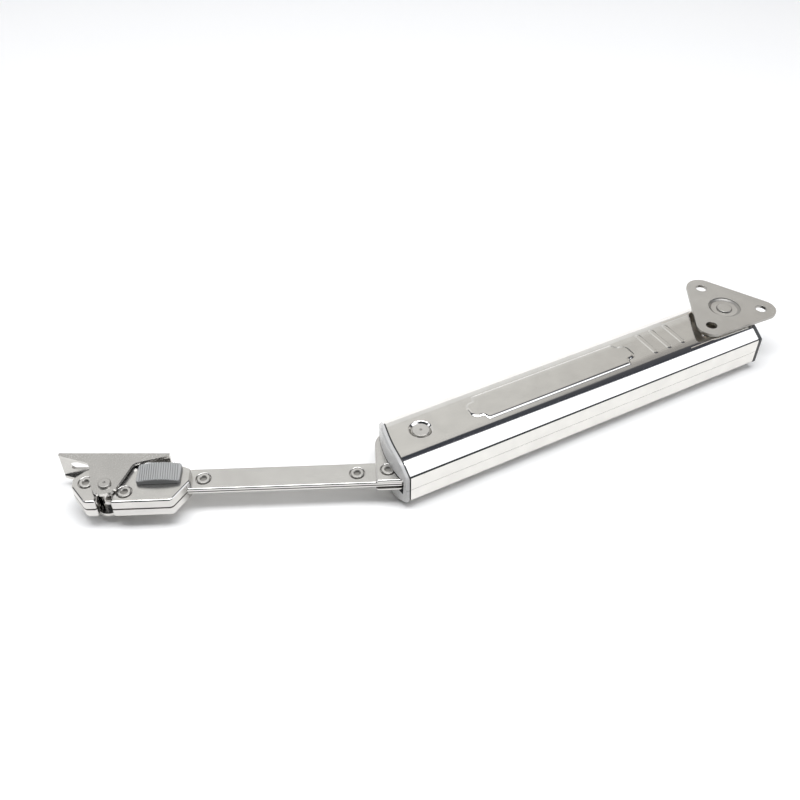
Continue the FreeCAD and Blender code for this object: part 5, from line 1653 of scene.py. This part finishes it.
@dataclass
class Button:
    """The crowned thumb button with cross ribs, and its post."""

    head: Head
    start: float = 12.8
    length: float = 18.8
    front: float = 0.9
    width: float = 10.4
    lift: float = 0.15
    edge_height: float = 1.9
    crown: float = 1.25
    corner: float = 1.2
    corner_steps: int = 5
    edge: float = 0.45
    pitch: float = 1.0
    groove: float = 0.5
    depth: float = 0.45
    slope: float = 0.12
    margin: float = 0.8
    slant: float = 4.0
    post_low: float = 1.75

    def ribbed(self, body: Solid, top: float) -> None:
        """Cuts the grooves between the ribs, and bends the top to its crown.

        Args:
            body: The button's block.
            top: Height of its flat top.
        """
        px, py = self.head.pin
        half = self.length / 2.0
        middle, centre = px + self.start + half, py + self.front + self.width / 2.0
        count = int((half - self.margin) / self.pitch)
        lean = Vector((cos(radians(self.slant)), sin(radians(self.slant)), 0.0))
        inner, outer = self.groove / 2.0 - self.slope, self.groove / 2.0
        lines = [k * self.pitch + step for k in range(-count, count + 1)
                 for step in (-outer, -inner, inner, outer)]
        body.sliced(lean, lines, (middle, centre, 0.0))
        arc = (half ** 2 + self.crown ** 2) / (2.0 * self.crown)
        for vert in body.mesh.verts:
            if vert.co.z < top - self.edge - PLANE_TOLERANCE:
                continue
            place = vert.co - Vector((middle, centre, 0.0))
            across = place.x * lean.x + place.y * lean.y
            nearest = round(across / self.pitch)
            bottom = abs(across - nearest * self.pitch) < inner + PLANE_TOLERANCE
            if bottom and abs(nearest) <= count:
                vert.co.z -= self.depth
            vert.co.z += self.crown - arc + sqrt(max(arc ** 2 - place.x ** 2, 0.0))

    def build(self, shop: Workshop) -> None:
        """Makes the button and its post.

        Args:
            shop: Where pieces are finished.
        """
        px, py = self.head.pin
        base = self.head.half_height + self.lift
        top = base + self.edge_height
        left, front, r = px + self.start, py + self.front, self.corner
        body = Solid.plate(oblong((left, left + self.length), (front, front + self.width), r, r),
                           base, top, self.corner_steps)
        body.rounded(at_height(top), self.edge, ROLL_STEPS)
        self.ribbed(body, top)
        x, y, a, b = self.head.post_place
        body.joined(self.head.room((x - a / 2.0, x + a / 2.0), (y - b / 2.0, y + b / 2.0),
                                   (self.post_low, base + self.edge)))
        # the sides and the post below the rounded brow get painted shade
        body.hollowed(lambda place: place.z < top - self.edge)
        shop.finish(body, "thumb_button", self.head.seat,
                    (Finish.BUTTON, Finish.BUTTON, Finish.SHADE), "button", "release_button",
                    PLASTIC_SHARP_ANGLE)


@dataclass
class Bracket:
    """The flap bracket, its pin and its bush."""

    seat: Seat
    half_length: float = 24.6
    half_height: float = 7.1
    sheet: float = 1.5
    web_back: float = 18.9
    tip: float = 1.9
    tip_radius: float = 0.6
    shoulder: Spot = (9.8, 12.3, 3.0)
    eye: float = 5.8
    bend: float = 0.6
    bend_steps: int = 6
    edge: float = 0.25
    slot_length: float = 8.5
    slot_radius: float = 2.2
    slot_spacing: float = 33.0
    pin_radius: float = 2.0
    pin_head: Spot = (2.8, 1.0, 0.4)
    centre: Spot = (0.6, 0.3, 0.35)
    bush_radius: float = 3.05
    bush_gap: float = 0.05

    def ear_spots(self) -> list[Spot]:
        """Outline of an ear: a broad tee whose stem runs straight to the pin eye.

        Returns:
            The outline.
        """
        half, back, e = self.half_length, self.web_back, self.eye
        x, y, _ = self.shoulder
        lean = acos(e / hypot(x, y)) - atan2(y, x)
        foot = e * (1.0 - sin(lean)) / cos(lean)
        right = [(half, back - self.tip, self.tip_radius), self.shoulder,
                 (foot, -e, e * FULL_ROUND)]
        left = [(-x, y, r) for x, y, r in reversed(right)]
        return [(-half, back, 0.0), (half, back, 0.0)] + right + left

    def is_bend(self, edge: bmesh.types.BMEdge) -> bool:
        """Whether an edge is where the web bends into an ear."""
        (_, y0, z0), (_, y1, z1) = (vert.co for vert in edge.verts)
        return min(y0, y1) > self.web_back - PLANE_TOLERANCE and abs(z0 - z1) < PLANE_TOLERANCE

    def is_rim(self, edge: bmesh.types.BMEdge) -> bool:
        """Whether an edge is on the free rim of an ear."""
        level = at_height(self.half_height)(edge) or at_height(-self.half_height)(edge)
        return level and min(vert.co.y for vert in edge.verts) < self.web_back - self.bend

    def clip(self) -> Solid:
        """The bent sheet: two ears and the web between them.

        Returns:
            The sheet.
        """
        high, t, r = self.half_height, self.sheet, self.slot_radius
        body = Solid.plate(self.ear_spots(), -high, high)
        body.rounded(self.is_bend, self.bend, self.bend_steps)
        body.rounded(self.is_rim, self.edge)
        reach = self.half_length + PAST
        body.cut(Solid.block((-reach, reach), (-self.eye - PAST, self.web_back - t),
                             (t - high, high - t)))
        half, full = self.slot_length / 2.0, r * FULL_ROUND
        for side in (-1, 1):
            slot = Solid.plate(oblong((-half, half), (-r, r), full, full), -PAST, t + PAST)
            slot.changed(Matrix.Rotation(radians(90.0), 4, "X"))
            body.cut(slot.moved(side * self.slot_spacing / 2.0, self.web_back))
        return body.cut(Solid.post(self.pin_radius, -high - PAST, high + PAST))

    def pin(self) -> Solid:
        """The headed pin.

        Returns:
            The pin.
        """
        high, (head, rise, edge) = self.half_height, self.pin_head
        brow = rolled(head, high + rise, edge)
        outer, inner, depth = self.centre
        mark = [(outer, high + rise), (inner, high + rise - depth), (0.0, high + rise - depth)]
        return Solid.lathe([(0.0, -high - rise)] + [(r, -h) for r, h in reversed(brow)]
                           + [(head, -high), (self.pin_radius, -high), (self.pin_radius, high),
                              (head, high)] + brow + mark, SMALL_LATHE_STEPS)

    def build(self, shop: Workshop) -> None:
        """Makes the bracket, the pin and the bush.

        Args:
            shop: Where pieces are finished.
        """
        half = self.half_height - self.sheet - self.bush_gap
        bush = Solid.lathe([(self.pin_radius, -half), (self.bush_radius, -half),
                            (self.bush_radius, half), (self.pin_radius, half)])
        for solid, name, looks, node in (
                (self.clip(), "flap_clip", (Finish.EAR,), "flap_bracket"),
                (self.pin(), "flap_pin", (Finish.EAR, Finish.INNER), "bracket_pin"),
                (bush, "flap_bush", (Finish.BUSH,), "bracket_bush")):
            shop.finish(solid, name, self.seat, looks, "bracket", node)


@dataclass
class CabinetPlate:
    """The triangular mounting plate with its dished middle, and its rivet."""

    seat: Seat
    hole_pitch: float = 32.0
    hole_radius: float = 2.7
    corner: float = 7.595
    corner_points: int = 120
    sheet: float = 1.5
    edge: float = 0.3
    hole_edge: float = 0.2
    dish_radius: float = 7.9
    dish_slope: float = 1.0
    dish_depth: float = 1.0
    dish_edge: float = 0.5
    dish_turn: float = 60.0
    dish_foot: Level = (0.3, 0.1)
    dish_steps: int = 64
    cup: Level = (6.5, 2.0)
    cup_sink: float = 0.05
    rivet_hole: float = 2.55
    rivet_radius: float = 2.5
    rivet_room: float = 0.15
    rivet_head: Spot = (3.85, 1.6, 0.4)
    rivet_sink: float = 1.95
    rivet_tail: float = -9.5

    def dish(self) -> Solid:
        """The hollow of the dished middle, with its rolled rim.

        Returns:
            Its cutter.
        """
        r, e, turn = self.dish_radius, self.dish_edge, radians(self.dish_turn)
        inner, floor = r - self.dish_slope, -self.dish_depth
        foot, rise = self.dish_foot
        roll = [(r + e * (1.0 - cos(turn * k / ROLL_STEPS)),
                 -e * (1.0 - sin(turn * k / ROLL_STEPS) / sin(turn)))
                for k in range(ROLL_STEPS + 1)]
        return Solid.lathe([(0.0, floor), (inner - foot, floor), (inner, floor + rise)]
                           + roll + [(roll[-1][0], PAST), (0.0, PAST)], self.dish_steps)

    def plate(self) -> Solid:
        """The pressed plate; its upper face is at the frame's origin.

        Returns:
            The plate.
        """
        reach, t = self.hole_pitch / sqrt(3.0), self.sheet
        spots = [(reach * cos(radians(a)), reach * sin(radians(a))) for a in (-90, 30, 150)]
        solid = Solid.hull([(x, y, self.corner) for x, y in spots], -t, 0.0, self.corner_points)
        solid.rounded(at_height(0.0), self.edge, ROLL_STEPS)
        cup_radius, cup_depth = self.cup
        under, high = -cup_depth - t, self.cup_sink - t
        solid.joined(Solid.lathe([(0.0, under), (cup_radius + t / 2.0, under),
                                  (self.dish_radius + t / 2.0, high), (0.0, high)]))
        solid.cut(self.dish(), Solid.post(self.rivet_hole, under - PAST, PAST),
                  Solid.post(self.rivet_head[0] + self.rivet_room, -cup_depth, PAST))
        r, e = self.hole_radius, self.hole_edge
        for x, y in spots:
            solid.cut(Solid.lathe(
                [(0.0, -t - PAST), (r, -t - PAST)] + rolled(r, 0.0, e, 1.0)
                + [(r + e, PAST), (0.0, PAST)]).moved(x, y))
        return solid

    def rivet(self) -> Solid:
        """The rivet in the dish.

        Returns:
            The rivet.
        """
        head, height, e = self.rivet_head
        seat, tail = -self.rivet_sink, self.rivet_tail
        return Solid.lathe([(0.0, tail), (head - e, tail), (head, tail + e), (head, tail + height),
                            (self.rivet_radius, tail + height), (self.rivet_radius, seat),
                            (head, seat)] + rolled(head, seat + height, e)
                           + [(0.0, seat + height)])

    def build(self, shop: Workshop) -> None:
        """Makes the plate and the rivet.

        Args:
            shop: Where pieces are finished.
        """
        looks = (Finish.STAMPED, Finish.INNER)
        shop.finish(self.plate(), "cabinet_plate", self.seat, looks, "plate", "mounting_plate")
        shop.finish(self.rivet(), "pivot_rivet", self.seat, looks, "housing", "plate_rivet")


def joint_seat(frame: dict, name: str, angle: float) -> Seat:
    """The seat whose origin is a joint's place.

    Args:
        name: Name of the joint.
        angle: Turn about the upright axis, in degrees.

    Returns:
        The seat.
    """
    joint = next(j for j in frame["joints"] if j["name"] == name)
    place = Vector(joint["pos_m"]) / MM
    return Seat(place.x, place.y, angle)


def sub_assemblies(frame: dict) -> list:
    """Every sub-assembly, each in the frame of the joint that it hangs on.


    Returns:
        Builders, in the order that they are made.
    """
    (u, v), turn = PLATE_PIVOT, radians(HOUSING_ANGLE)
    housing = Housing(Seat(v * sin(turn) - u * cos(turn), -u * sin(turn) - v * cos(turn),
                           HOUSING_ANGLE))
    lever = Lever(joint_seat(frame, "lever_pivot", ARM_ANGLE), Screw())
    head = Head(lever.seat, lever.screw, lever)
    bracket = Bracket(joint_seat(frame, "bracket_pivot", BRACKET_ANGLE))
    plate = CabinetPlate(Seat(0.0, 0.0, PLATE_ANGLE, 0.0))
    return [housing, FrontCap(housing), lever, head, Button(head), bracket, plate]


def main() -> None:
    """Builds the scene."""
    logging.basicConfig(level=logging.INFO, format="%(message)s")
    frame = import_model()
    Studio().build()
    palette = Palette()
    palette.dress_nodes(frame["nodes"], frame["record"])
    shop = Workshop(palette)
    for part in sub_assemblies(frame):
        part.build(shop)
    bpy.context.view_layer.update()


if __name__ == "__main__":
    main()
